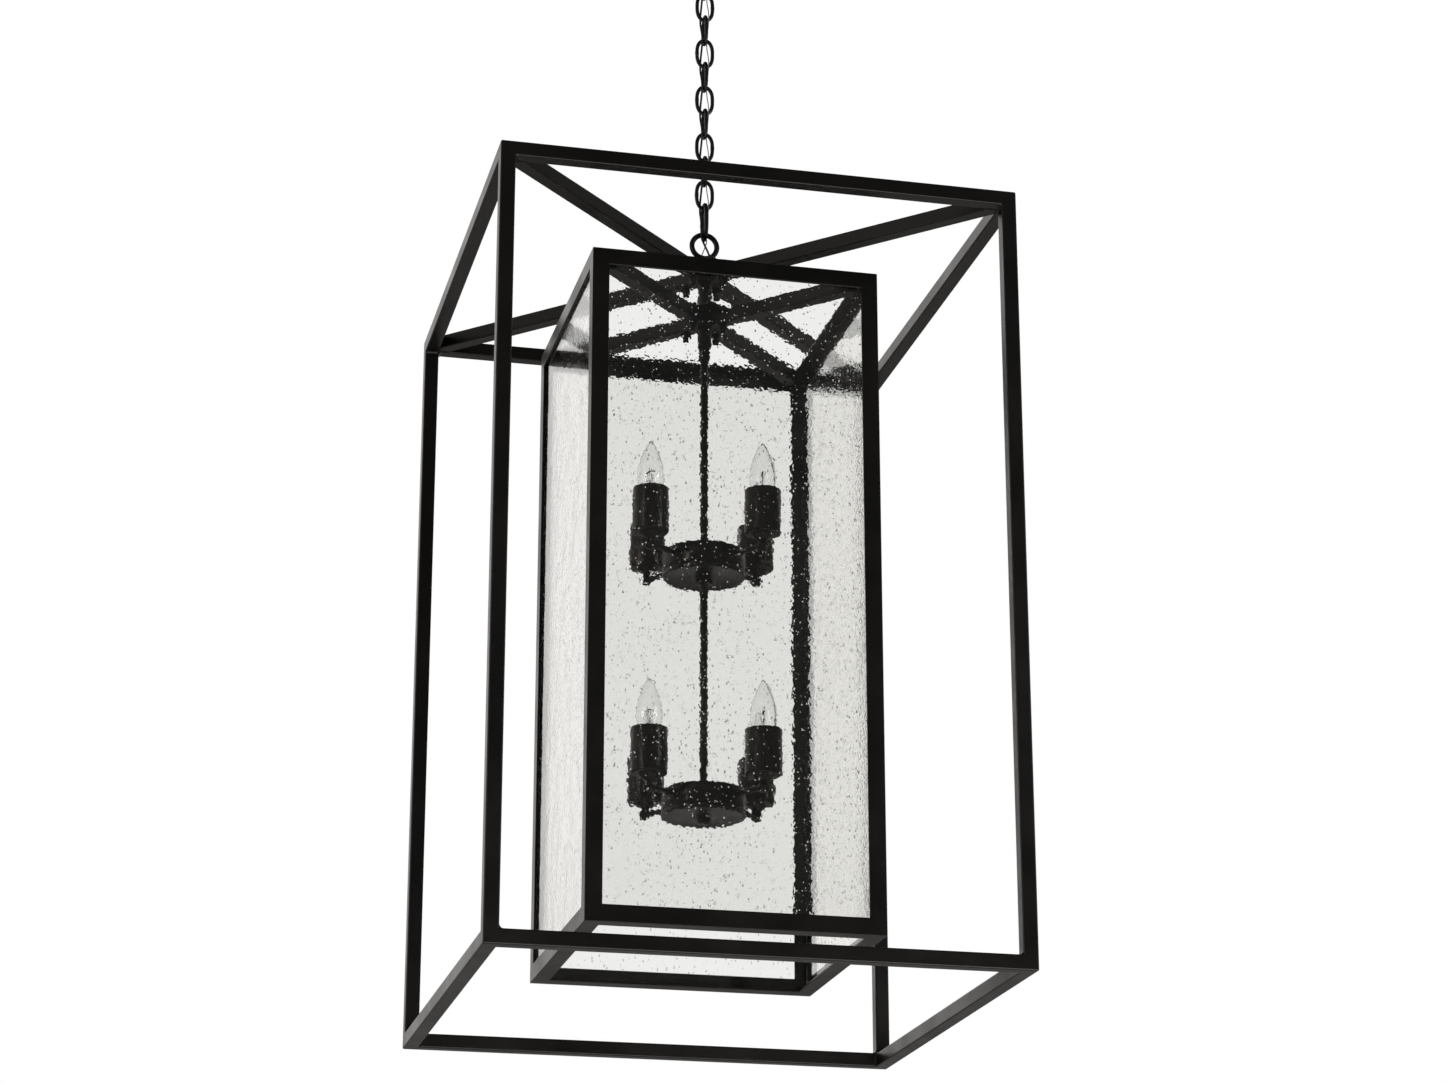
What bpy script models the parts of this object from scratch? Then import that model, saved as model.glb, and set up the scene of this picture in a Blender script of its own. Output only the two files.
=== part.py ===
"""Hanging lantern: an open cage of square tube round a glazed inner cage.

Two four-lamp clusters share one stem inside it, and it hangs from a ceiling canopy by a chain.
Metres, +Z up, with the origin on the ceiling at the canopy's middle.
The lantern's own heights are measured up from the bottom of the outer frame.
"""

import math

import bmesh
import bpy
from mathutils import Matrix, Vector

MM = 0.001
FIT = 0.3 * MM  # gap between pieces that touch
WELD_OVERLAP = 1 * MM  # how far a welded piece runs into the next

# Outer frame
FRAME_WIDTH = 610 * MM
FRAME_HEIGHT = 927 * MM
TUBE = 17.5 * MM

# Inner frame, of equal angle, and its glass
GLASS_FRAME_WIDTH = 345 * MM
END_GAP = 60.5 * MM  # from the outer frame's end to the inner frame's
ANGLE_LEG = 20 * MM
ANGLE_WALL = 3 * MM
GLASS_THICKNESS = 3 * MM

# Cross braces and the hubs bolted to them
BRACE = 17.5 * MM
STEM_ROD = 9.4 * MM
HUB_WIDTH = 60 * MM
HUB_THICKNESS = 3 * MM
BOLT = 6 * MM
BOLT_RADIUS = 27 * MM  # from the lantern's axis
NUT = 10 * MM
NUT_HEIGHT = 7 * MM
CAP_HEIGHT = 5 * MM

# Stem
SPACER = 17 * MM
LOWER_SPACER_LENGTH = 25 * MM
COUPLING = 13.5 * MM
COUPLING_LENGTH = 17 * MM
PAN_NUT = 21 * MM
PAN_NUT_HEIGHT = 7 * MM
LOWER_NUT = 16 * MM  # on top of the lower pan
FINIAL = 18 * MM
FINIAL_HEIGHT = 8 * MM

# Lamp clusters
UPPER_PAN_LEVEL = 525.5 * MM  # underside of the upper cluster's lid
LOWER_PAN_LEVEL = 230 * MM
PAN = 100 * MM
PAN_HEIGHT = 32 * MM
PAN_WALL = 2.5 * MM
LID_THICKNESS = 5.5 * MM
LAMPS = 4
FIRST_LAMP_ANGLE = 35  # degrees from +X
LAMP_RADIUS = 94 * MM
ARM = 7 * MM
ARM_RISE = 20 * MM  # of the arm's middle above the lid's underside
KNUCKLE = 14 * MM
CUP = 26 * MM
CUP_HEIGHT = 8 * MM
CUP_SINK = 1.5 * MM  # of the cup into the knuckle
COVER = 43.5 * MM
COVER_HEIGHT = 55 * MM
COVER_WALL = 1.6 * MM
NIPPLE = 10 * MM
SOCKET = 26 * MM
SOCKET_HEIGHT = 40 * MM
CAP_BORE = 13.5 * MM
CAP_DEPTH = 20 * MM
BULB = 32 * MM
BULB_HEIGHT = 73 * MM  # of the glass, above the socket
BULB_CAP = 12 * MM

# Lantern loop
COLLAR = 24 * MM
COLLAR_HEIGHT = 11.5 * MM
LOOP_WIRE = 6.5 * MM
LOOP_WIDTH = 38.5 * MM
LOOP_SINK = 1 * MM

# Chain and canopy
CHAIN_LINKS = 9
LINK_WIRE = 4.7 * MM
LINK_LENGTH = 42.5 * MM
LINK_WIDTH = 25 * MM
CONNECTOR_WIRE = 5.5 * MM
CONNECTOR_LENGTH = 52 * MM
CONNECTOR_WIDTH = 29 * MM
CANOPY_LOOP_WIRE = 5 * MM
CANOPY_LOOP_WIDTH = 30 * MM
CANOPY_COLLAR = 22 * MM
CANOPY_COLLAR_HEIGHT = 16 * MM
CANOPY = 130 * MM
CANOPY_HEIGHT = 24 * MM
CANOPY_WALL = 2 * MM
CANOPY_LIP = 8 * MM  # of the sloped edge round its face
STRAP_WIDTH = 24 * MM
STRAP_LENGTH = 106 * MM
STRAP_THICKNESS = 3 * MM
STRAP_NIPPLE = 10 * MM

# Wires that weave down the chain
SUPPLY_LEAD = 2.6 * MM
GROUND_LEAD = 1.3 * MM
WEAVE = 5.8 * MM  # how far they swing to each side of the chain
SUPPLY_ENTRY = 6 * MM  # where each goes into the lantern's collar, right of the axis
GROUND_ENTRY = -4 * MM
LEAD_GAP = 0.5 * MM  # from a lead to an edge-on link
LEAD_HOLE_ROOM = 2 * MM  # how much wider the canopy's holes are than the leads
ENTRY_DEPTH = 3 * MM  # of a lead in the collar

# Numbers of sides and turns
ROUND_SIDES = 20
SMALL_SIDES = 12
WIRE_SIDES = 8
PAN_SIDES = 28
CANOPY_SIDES = 32
LOOP_STEPS = 16
ARC_STEPS = 6
LEAD_SPACING = 8 * MM

# Heights, up from the bottom of the outer frame
INNER_BOTTOM = END_GAP
INNER_TOP = FRAME_HEIGHT - END_GAP
HUB_BOTTOM = FRAME_HEIGHT + FIT
COLLAR_BOTTOM = HUB_BOTTOM + HUB_THICKNESS + FIT
COLLAR_TOP = COLLAR_BOTTOM + COLLAR_HEIGHT
LOOP_RADIUS = (LOOP_WIDTH - LOOP_WIRE) / 2
LOOP_LEVEL = COLLAR_TOP - LOOP_SINK + LOOP_WIDTH / 2
LOOP_TOP = LOOP_LEVEL + LOOP_RADIUS


# Which way each corner of a square frame lies from its middle
CORNERS = [(-1, -1), (1, -1), (1, 1), (-1, 1)]


def hangs_on(wire_level, wire, next_wire):
    """Height of the wire that passes under the one at wire_level and carries it."""
    return wire_level - (wire + next_wire) / 2 - FIT


def link_top(bottom_level, length, wire):
    """Height of a link's top wire."""
    return bottom_level + length - wire


CONNECTOR_BOTTOM = hangs_on(LOOP_TOP, LOOP_WIRE, CONNECTOR_WIRE)
CONNECTOR_TOP = link_top(CONNECTOR_BOTTOM, CONNECTOR_LENGTH, CONNECTOR_WIRE)
FIRST_LINK_BOTTOM = hangs_on(CONNECTOR_TOP, CONNECTOR_WIRE, LINK_WIRE)
PITCH = LINK_LENGTH - 2 * LINK_WIRE - FIT
LAST_LINK_TOP = link_top(FIRST_LINK_BOTTOM + (CHAIN_LINKS - 1) * PITCH, LINK_LENGTH, LINK_WIRE)
CANOPY_LOOP_BOTTOM = hangs_on(LAST_LINK_TOP, LINK_WIRE, CANOPY_LOOP_WIRE)
CANOPY_LOOP_RADIUS = (CANOPY_LOOP_WIDTH - CANOPY_LOOP_WIRE) / 2
CANOPY_LOOP_LEVEL = CANOPY_LOOP_BOTTOM + CANOPY_LOOP_RADIUS
CANOPY_COLLAR_BOTTOM = CANOPY_LOOP_LEVEL + CANOPY_LOOP_WIDTH / 2 - LOOP_SINK
CANOPY_BOTTOM = CANOPY_COLLAR_BOTTOM + CANOPY_COLLAR_HEIGHT + FIT
CEILING = CANOPY_BOTTOM + CANOPY_HEIGHT

# Height of a lamp's cup above the underside of its cluster's lid
CUP_LEVEL = ARM_RISE + KNUCKLE / 2 - CUP_SINK


def material(name, colour, roughness, metallic, transmission=0.0):
    """A Principled material. The colour is linear."""
    made = bpy.data.materials.new(name)
    made.use_nodes = True
    shader = made.node_tree.nodes["Principled BSDF"]
    shader.inputs["Base Color"].default_value = (*colour, 1)
    shader.inputs["Roughness"].default_value = roughness
    shader.inputs["Metallic"].default_value = metallic
    shader.inputs["Transmission Weight"].default_value = transmission
    made.diffuse_color = (*colour, 1)
    return made


def clear_scene():
    for obj in list(bpy.data.objects):
        bpy.data.objects.remove(obj)


def empty(name, location, parent=None, turn=0.0):
    """A named place that other pieces are set out from."""
    made = bpy.data.objects.new(name, None)
    bpy.context.scene.collection.objects.link(made)
    made.location = location
    made.rotation_euler.z = turn
    made.parent = parent
    return made


def piece(name, mesh, finish, location=(0, 0, 0), parent=None, turn=0.0):
    """A visible object that shows mesh."""
    made = bpy.data.objects.new(name, mesh)
    bpy.context.scene.collection.objects.link(made)
    made.location = location
    made.rotation_euler.z = turn
    made.parent = parent
    if not mesh.materials:
        mesh.materials.append(finish)
    return made


def closed_mesh(points, faces):
    """A mesh of these faces, all turned to point outwards."""
    mesh = bpy.data.meshes.new("shape")
    mesh.from_pydata(points, [], faces)
    made = bmesh.new()
    made.from_mesh(mesh)
    bmesh.ops.recalc_face_normals(made, faces=made.faces)
    made.to_mesh(mesh)
    made.free()
    return mesh


def box(low, high):
    """A block between two corners."""
    corners = [(x, y, z) for x in (low[0], high[0]) for y in (low[1], high[1]) for z in (low[2], high[2])]
    sides = [(0, 1, 3, 2), (4, 6, 7, 5), (0, 4, 5, 1), (2, 3, 7, 6), (0, 2, 6, 4), (1, 5, 7, 3)]
    return closed_mesh(corners, sides)


def prism(outline, bottom, top):
    """An upright prism over a flat outline of (x, y) points."""
    count = len(outline)
    points = [(x, y, z) for z in (bottom, top) for x, y in outline]
    faces = [tuple(range(count)), tuple(range(count, 2 * count))]
    faces += [(i, (i + 1) % count, count + (i + 1) % count, count + i) for i in range(count)]
    return closed_mesh(points, faces)


def turned(outline, sides=ROUND_SIDES):
    """A shape turned about Z from (radius, height) points.

    An outline that starts and ends at radius 0 is solid; any other closes on itself round a bore.
    """
    points = []
    rings = []
    for radius, height in outline:
        count = 1 if radius == 0 else sides
        rings.append([len(points) + i for i in range(count)])
        for i in range(count):
            angle = math.tau * i / sides
            points.append((radius * math.cos(angle), radius * math.sin(angle), height))
    pairs = list(zip(rings, rings[1:]))
    if outline[0][0] > 0:
        pairs.append((rings[-1], rings[0]))
    faces = []
    for first, second in pairs:
        for i in range(sides):
            ends = [first[i % len(first)], first[(i + 1) % len(first)]]
            ends += [second[(i + 1) % len(second)], second[i % len(second)]]
            faces.append(tuple(dict.fromkeys(ends)))
    return closed_mesh(points, faces)


def rod(diameter, bottom, top, sides=ROUND_SIDES):
    """A solid round bar on the Z axis."""
    radius = diameter / 2
    return turned([(0, top), (radius, top), (radius, bottom), (0, bottom)], sides)


def pipe(diameter, bore, bottom, top, sides=ROUND_SIDES):
    """A round tube on the Z axis, open at both ends."""
    outer = diameter / 2
    inner = bore / 2
    return turned([(inner, top), (outer, top), (outer, bottom), (inner, bottom)], sides)


def mitred_ring(width, section):
    """A square frame, mitred at its corners. section is (inset, height) points of its cross-section."""
    points = []
    for x, y in CORNERS:
        for inset, height in section:
            out = width / 2 - inset
            points.append((x * out, y * out, height))
    count = len(section)
    faces = []
    for side in range(4):
        here = side * count
        there = (side + 1) % 4 * count
        for i in range(count):
            j = (i + 1) % count
            faces.append((here + i, here + j, there + j, there + i))
    return closed_mesh(points, faces)


def wire_loop(length, width, wire, steps=ARC_STEPS):
    """A chain link of round wire in the XZ plane, with the origin at the middle of its top wire."""
    radius = (width - wire) / 2
    straight = length / 2 - wire / 2 - radius
    middle = -(length - wire) / 2
    path = []
    for end in (1, -1):
        for i in range(steps + 1):
            angle = math.pi * i / steps + (0 if end > 0 else math.pi)
            path.append((radius * math.cos(angle), middle + end * straight + radius * math.sin(angle), angle))
    points = []
    for x, z, angle in path:
        for i in range(WIRE_SIDES):
            around = math.tau * (i + 0.5) / WIRE_SIDES
            out = wire / 2 * math.cos(around)
            points.append((x + out * math.cos(angle), wire / 2 * math.sin(around), z + out * math.sin(angle)))
    faces = []
    for i in range(len(path)):
        here = i * WIRE_SIDES
        there = (i + 1) % len(path) * WIRE_SIDES
        for j in range(WIRE_SIDES):
            k = (j + 1) % WIRE_SIDES
            faces.append((here + j, here + k, there + k, there + j))
    return closed_mesh(points, faces)


def ring_of_wire(width, wire, level):
    """An upright round ring in the XZ plane, with its middle at level."""
    made = wire_loop(width, width, wire, LOOP_STEPS // 2)
    bm = bmesh.new()
    bm.from_mesh(made)
    bmesh.ops.remove_doubles(bm, verts=bm.verts, dist=MM / 100)
    bmesh.ops.translate(bm, verts=bm.verts, vec=(0, 0, level + (width - wire) / 2))
    bm.to_mesh(made)
    bm.free()
    return made


def moved(mesh, matrix):
    """The mesh, moved by the matrix."""
    mesh.transform(matrix)
    return mesh


def shifted(mesh, x, y, z=0.0):
    return moved(mesh, Matrix.Translation((x, y, z)))


def combine(base, others, operation):
    """One mesh, from base and others joined (UNION) or from base with others cut away (DIFFERENCE)."""
    body = bpy.data.objects.new("body", base)
    bpy.context.scene.collection.objects.link(body)
    tools = []
    for other in others:
        tool = bpy.data.objects.new("tool", other)
        bpy.context.scene.collection.objects.link(tool)
        tools.append(tool)
        boolean = body.modifiers.new("boolean", "BOOLEAN")
        boolean.operation = operation
        boolean.solver = "EXACT"
        boolean.object = tool
    bpy.context.view_layer.update()
    graph = bpy.context.evaluated_depsgraph_get()
    made = bpy.data.meshes.new_from_object(body.evaluated_get(graph))
    for obj in [body, *tools]:
        bpy.data.objects.remove(obj)
    return made


def joined(base, *others):
    return combine(base, others, "UNION")


def cut(base, *others):
    return combine(base, others, "DIFFERENCE")


def around(mesh_at, count=4, first=math.pi / 4):
    """Copies of the shape that mesh_at makes, turned about Z."""
    return [moved(mesh_at(), Matrix.Rotation(first + math.tau * i / count, 4, "Z")) for i in range(count)]


def tube_ring(width, bottom):
    """A square ring of the outer frame's tube."""
    return mitred_ring(width, [(0, bottom), (TUBE, bottom), (TUBE, bottom + TUBE), (0, bottom + TUBE)])


def angle_ring(width, flat, side):
    """A square ring of angle with its level leg at flat. side is 1 if its upright leg goes up."""
    leg = side * ANGLE_LEG
    wall = side * ANGLE_WALL
    section = [(0, flat), (ANGLE_LEG, flat), (ANGLE_LEG, flat + wall), (ANGLE_WALL, flat + wall)]
    return mitred_ring(width, section + [(ANGLE_WALL, flat + leg), (0, flat + leg)])


def tube_post(x, y, bottom, top):
    """A square post in the corner of the outer frame that x and y point to."""
    outer = FRAME_WIDTH / 2
    inner = outer - TUBE
    near = (min(x * inner, x * outer), min(y * inner, y * outer), bottom)
    far = (max(x * inner, x * outer), max(y * inner, y * outer), top)
    return box(near, far)


def angle_post(x, y, bottom, top):
    """A post of angle in the corner of the inner frame that x and y point to, open towards the middle."""
    outer = GLASS_FRAME_WIDTH / 2
    leg = outer - ANGLE_LEG
    wall = outer - ANGLE_WALL
    outline = [(outer, outer), (outer, leg), (wall, leg), (wall, wall), (leg, wall), (leg, outer)]
    return prism([(x * px, y * py) for px, py in outline], bottom, top)


def brace(reach, bottom):
    """Two crossed bars to the corners of a square, cut for the stem and the hub's bolts."""
    half = BRACE / 2
    corner = reach * math.sqrt(2)

    def arm():
        # The point of the arm fits square into the frame's corner.
        outline = [(0, -half), (corner - half, -half), (corner, 0), (corner - half, half), (0, half)]
        return prism(outline, bottom, bottom + BRACE)

    def bolt_hole():
        return shifted(rod(BOLT + 2 * FIT, bottom - MM, bottom + BRACE + MM, SMALL_SIDES), BOLT_RADIUS, 0)

    arms = around(arm)
    middle = box((-half, -half, bottom), (half, half, bottom + BRACE))
    stem_hole = rod(STEM_ROD + 2 * FIT, bottom - MM, bottom + BRACE + MM)
    return cut(joined(middle, *arms), stem_hole, *around(bolt_hole))


def hub_plate(brace_bottom):
    """A plate on top of a brace, with its bolts down through the arms and their cap nuts below."""
    bottom = brace_bottom + BRACE + FIT
    half = HUB_WIDTH / 2

    def bolt():
        nut_top = brace_bottom - FIT
        nut_bottom = nut_top - NUT_HEIGHT
        cap = nut_bottom - CAP_HEIGHT
        outline = [(0, bottom + MM), (BOLT / 2, bottom + MM), (BOLT / 2, nut_top), (NUT / 2, nut_top)]
        outline += [(NUT / 2, nut_bottom), (NUT / 2 * 0.8, nut_bottom - CAP_HEIGHT * 0.6), (0, cap)]
        return shifted(turned(outline, SMALL_SIDES), BOLT_RADIUS, 0)

    eighth_turn = Matrix.Rotation(math.pi / 4, 4, "Z")
    plate = moved(box((-half, -half, bottom), (half, half, bottom + HUB_THICKNESS)), eighth_turn)
    stem_hole = rod(STEM_ROD + 2 * FIT, bottom - MM, bottom + HUB_THICKNESS + MM)
    return cut(joined(plate, *around(bolt)), stem_hole)


def build_outer_frame(parent, steel):
    """The outer cage: a tube ring at each end and four posts, with a cross brace welded into the top."""
    top_ring = FRAME_HEIGHT - TUBE
    reach = FRAME_WIDTH / 2 - TUBE + WELD_OVERLAP
    top = joined(tube_ring(FRAME_WIDTH, top_ring), brace(reach, FRAME_HEIGHT - BRACE))
    piece("outer_top_frame", top, steel, parent=parent)
    posts = [tube_post(x, y, TUBE / 2, top_ring - FIT) for x, y in CORNERS]
    piece("outer_lower_frame", joined(tube_ring(FRAME_WIDTH, 0), *posts), steel, parent=parent)
    piece("outer_hub_plate", hub_plate(FRAME_HEIGHT - BRACE), steel, parent=parent)


def build_inner_frame(parent, steel):
    """The inner cage of angle, with its own cross brace welded to the edge of the top ring's level leg."""
    reach = GLASS_FRAME_WIDTH / 2 - ANGLE_LEG + WELD_OVERLAP
    top = joined(angle_ring(GLASS_FRAME_WIDTH, INNER_TOP, -1), brace(reach, INNER_TOP - BRACE))
    piece("inner_top_frame", top, steel, parent=parent)
    post_bottom = INNER_BOTTOM + ANGLE_WALL / 2
    post_top = INNER_TOP - ANGLE_LEG - FIT
    posts = [angle_post(x, y, post_bottom, post_top) for x, y in CORNERS]
    lower = joined(angle_ring(GLASS_FRAME_WIDTH, INNER_BOTTOM, 1), *posts)
    piece("inner_lower_frame", lower, steel, parent=parent)
    piece("inner_hub_plate", hub_plate(INNER_TOP - BRACE), steel, parent=parent)


def build_glass(parent, glass):
    """Four panes inside the angle's legs. The front and back ones run past the edges of the side ones."""
    outer = GLASS_FRAME_WIDTH / 2 - ANGLE_WALL - FIT
    inner = outer - GLASS_THICKNESS
    bottom = INNER_BOTTOM + ANGLE_WALL + FIT
    top = INNER_TOP - ANGLE_WALL - FIT
    side_half = inner - FIT
    piece("front_pane", box((-outer, -outer, bottom), (outer, -inner, top)), glass, parent=parent)
    piece("back_pane", box((-outer, inner, bottom), (outer, outer, top)), glass, parent=parent)
    piece("left_pane", box((-outer, -side_half, bottom), (-inner, side_half, top)), glass, parent=parent)
    piece("right_pane", box((inner, -side_half, bottom), (outer, side_half, top)), glass, parent=parent)


def build_stem(parent, steel):
    """What joins the frames, the clusters and the loop on the lantern's axis."""
    inner_plate_top = INNER_TOP + FIT + HUB_THICKNESS
    outer_brace_bottom = FRAME_HEIGHT - BRACE
    bore = STEM_ROD + 2 * FIT
    spacer = pipe(SPACER, bore, inner_plate_top + FIT, outer_brace_bottom - FIT)
    piece("upper_spacer", spacer, steel, parent=parent)
    spacer_top = INNER_TOP - BRACE - FIT
    spacer_bottom = spacer_top - LOWER_SPACER_LENGTH
    piece("lower_spacer", pipe(SPACER, bore, spacer_bottom, spacer_top), steel, parent=parent)

    coupling_top = spacer_bottom - FIT
    coupling_bottom = coupling_top - COUPLING_LENGTH
    piece("stem_coupling", pipe(COUPLING, bore, coupling_bottom, coupling_top), steel, parent=parent)

    upper_pan_top = UPPER_PAN_LEVEL + PAN_HEIGHT
    lower_pan_top = LOWER_PAN_LEVEL + PAN_HEIGHT
    nut = PAN_NUT / 2
    radius = STEM_ROD / 2

    # Both rods end in the upper pan, one above the other, and each carries the nuts that clamp a pan.
    joint = UPPER_PAN_LEVEL + PAN_HEIGHT / 2
    nut_top = upper_pan_top + FIT + PAN_NUT_HEIGHT
    shape = [(0, COLLAR_BOTTOM - FIT), (radius, COLLAR_BOTTOM - FIT), (radius, nut_top), (nut, nut_top)]
    shape += [(nut, upper_pan_top + FIT), (radius, upper_pan_top + FIT)]
    shape += [(radius, joint + FIT / 2), (0, joint + FIT / 2)]
    piece("upper_rod", turned(shape), steel, parent=parent)

    lock_top = UPPER_PAN_LEVEL - FIT
    lock_bottom = lock_top - PAN_NUT_HEIGHT
    finial_top = LOWER_PAN_LEVEL - FIT
    shape = [(0, joint - FIT / 2), (radius, joint - FIT / 2), (radius, lock_top), (nut, lock_top)]
    lower_nut = LOWER_NUT / 2
    nut_bottom = lower_pan_top + FIT
    nut_top = nut_bottom + PAN_NUT_HEIGHT
    shape += [(nut, lock_bottom), (radius, lock_bottom), (radius, nut_top)]
    shape += [(lower_nut, nut_top), (lower_nut, nut_bottom)]
    shape += [(radius, nut_bottom), (radius, finial_top + FIT), (0, finial_top + FIT)]
    piece("lower_rod", turned(shape), steel, parent=parent)
    knob = FINIAL / 2
    outline = [(0, finial_top), (knob, finial_top), (knob, finial_top - FINIAL_HEIGHT * 0.4)]
    outline += [(knob * 0.8, finial_top - FINIAL_HEIGHT * 0.8), (0, finial_top - FINIAL_HEIGHT)]
    piece("finial", turned(outline), steel, parent=parent)


def pan_mesh():
    """A shallow round pan, open below, with a hole for the rod and one in its side for each arm."""
    outer = PAN / 2
    inner = outer - PAN_WALL
    hole = STEM_ROD / 2 + FIT
    lid_top = LID_THICKNESS + FIT
    roof = PAN_HEIGHT - PAN_WALL
    outline = [(hole, PAN_HEIGHT), (outer, PAN_HEIGHT), (outer, lid_top)]
    outline += [(inner, lid_top), (inner, roof), (hole, roof)]
    lay_flat = Matrix.Rotation(math.pi / 2, 4, "Y")

    def arm_hole():
        side = moved(rod(ARM + 2 * FIT, inner - MM, outer + MM, SMALL_SIDES), lay_flat)
        return shifted(side, 0, 0, ARM_RISE)

    return cut(turned(outline, PAN_SIDES), *around(arm_hole, LAMPS, 0))


def arm_mesh():
    """A lamp's arm: out of the pan to a ball knuckle, with the cup, nipple and socket on top of it."""
    lay_flat = Matrix.Rotation(math.pi / 2, 4, "Y")
    tube = moved(rod(ARM, PAN / 2 - 2 * PAN_WALL, LAMP_RADIUS, SMALL_SIDES), lay_flat)
    shifted(tube, 0, 0, ARM_RISE)
    ball = bpy.data.meshes.new("ball")
    bm = bmesh.new()
    bmesh.ops.create_uvsphere(bm, u_segments=SMALL_SIDES, v_segments=8, radius=KNUCKLE / 2)
    bm.to_mesh(ball)
    bm.free()
    shifted(ball, LAMP_RADIUS, 0, ARM_RISE)
    cup_bottom = CUP_LEVEL
    cup_top = cup_bottom + CUP_HEIGHT
    floor_top = cup_top + 2 * FIT + COVER_WALL
    top = floor_top + SOCKET_HEIGHT
    seat = top - CAP_DEPTH
    outline = [(0, cup_bottom), (NIPPLE / 2, cup_bottom), (CUP / 2, cup_top), (NIPPLE / 2, cup_top)]
    outline += [(NIPPLE / 2, floor_top), (SOCKET / 2, floor_top), (SOCKET / 2, top), (CAP_BORE / 2, top)]
    holder = turned(outline + [(CAP_BORE / 2, seat), (0, seat)])
    return joined(shifted(holder, LAMP_RADIUS, 0), ball, tube)


def cover_mesh():
    """A straight-sided cover, open on top, with its floor at height 0."""
    outer = COVER / 2
    inner = outer - COVER_WALL
    hole = NIPPLE / 2 + FIT
    outline = [(hole, COVER_WALL), (inner, COVER_WALL), (inner, COVER_HEIGHT), (outer, COVER_HEIGHT)]
    return turned(outline + [(outer, 0), (hole, 0)])


def bulb_mesh():
    """A torpedo bulb with its screw cap, and its origin where the glass leaves the socket."""
    cap = BULB_CAP / 2
    widest = BULB / 2
    bottom = MM + FIT - CAP_DEPTH
    # Heights and half-widths of the glass, as shares of its height and of its greatest half-width
    shares = [(0.0, 0.42), (0.1, 0.62), (0.22, 0.86), (0.36, 1.0)]
    shares += [(0.5, 0.97), (0.64, 0.8), (0.78, 0.53), (0.9, 0.25)]
    outline = [(0, bottom), (cap * 0.6, bottom), (cap, bottom + 2.7 * MM), (cap, 0)]
    outline += [(widest * width, MM + BULB_HEIGHT * height) for height, width in shares]
    return turned(outline + [(0, MM + BULB_HEIGHT)], SMALL_SIDES)


def build_cluster(place, lantern, level, steel, glass):
    """A pan and its lid with the lamps round it."""
    parent = empty(place + "_cluster", (0, 0, level), lantern, math.radians(FIRST_LAMP_ANGLE))
    hole = STEM_ROD + 2 * FIT
    piece(place + "_pan", pan_mesh(), steel, parent=parent)
    piece(place + "_pan_lid", pipe(PAN, hole, 0, LID_THICKNESS, PAN_SIDES), steel, parent=parent)
    arm = arm_mesh()
    cover = cover_mesh()
    bulb = bulb_mesh()
    cover_level = CUP_LEVEL + CUP_HEIGHT + FIT
    bulb_level = cover_level + COVER_WALL + FIT + SOCKET_HEIGHT
    for i in range(LAMPS):
        angle = math.tau * i / LAMPS
        x = LAMP_RADIUS * math.cos(angle)
        y = LAMP_RADIUS * math.sin(angle)
        number = "_" + str(i + 1)
        piece(place + "_lamp_arm" + number, arm, steel, parent=parent, turn=angle)
        piece(place + "_lamp_cover" + number, cover, steel, (x, y, cover_level), parent)
        piece(place + "_bulb" + number, bulb, glass, (x, y, bulb_level), parent)


def beside_chain(lead, side):
    """How far right of the axis a lead runs past the edge-on links."""
    return side * (max(CONNECTOR_WIRE, LINK_WIRE) / 2 + lead / 2 + LEAD_GAP)


def lead_path(lead, side, entry):
    """The route of one lead down the chain, from the canopy to the lantern's collar.

    It keeps to one side of the edge-on links and swings through the middle of the others.
    """
    away = beside_chain(lead, side)
    level_links = (CHAIN_LINKS + 1) // 2
    first_middle = FIRST_LINK_BOTTOM + (LINK_LENGTH - LINK_WIRE) / 2
    last_middle = first_middle + 2 * (level_links - 1) * PITCH
    points = [(away, side * WEAVE, CANOPY_BOTTOM + FIT), (away, side * WEAVE, CANOPY_COLLAR_BOTTOM)]
    steps = 8 * level_links
    for i in range(steps + 1):
        height = last_middle + PITCH / 2 - (last_middle - first_middle + 1.5 * PITCH) * i / steps
        swing = math.sin(math.pi * (height - first_middle) / PITCH)
        points.append((away, side * WEAVE * swing, height))
    points.append((away, side * WEAVE, LOOP_TOP))
    points.append((away, side * WEAVE, CONNECTOR_BOTTOM - 2 * MM))
    points.append((entry * 0.8 + away * 0.2, side * WEAVE, COLLAR_TOP + 7 * MM))
    points.append((entry, side * WEAVE, COLLAR_TOP))
    points.append((entry, side * WEAVE, COLLAR_TOP - ENTRY_DEPTH))
    return points


def smooth_line(points, spacing):
    """Points at about this spacing on a smooth curve through the given ones."""
    ends = [2 * Vector(points[0]) - Vector(points[1]), 2 * Vector(points[-1]) - Vector(points[-2])]
    nodes = [ends[0], *[Vector(p) for p in points], ends[1]]
    line = []
    for a, b, c, d in zip(nodes, nodes[1:], nodes[2:], nodes[3:]):
        steps = max(1, round((c - b).length / spacing))
        for i in range(steps):
            t = i / steps
            square = (2 * a - 5 * b + 4 * c - d) * t**2
            cube = (3 * b - a - 3 * c + d) * t**3
            line.append((2 * b + (c - a) * t + square + cube) / 2)
    line.append(nodes[-2])
    return line


def lead(name, points, diameter, finish, parent):
    """A round lead along the points."""
    curve = bpy.data.curves.new(name, "CURVE")
    curve.dimensions = "3D"
    curve.bevel_depth = diameter / 2
    curve.bevel_resolution = 2
    curve.use_fill_caps = True
    line = smooth_line(points, LEAD_SPACING)
    spline = curve.splines.new("POLY")
    spline.points.add(len(line) - 1)
    for point, place in zip(spline.points, line):
        point.co = (*place, 1)
    curve.materials.append(finish)
    made = bpy.data.objects.new(name, curve)
    bpy.context.scene.collection.objects.link(made)
    made.parent = parent
    return made


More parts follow.
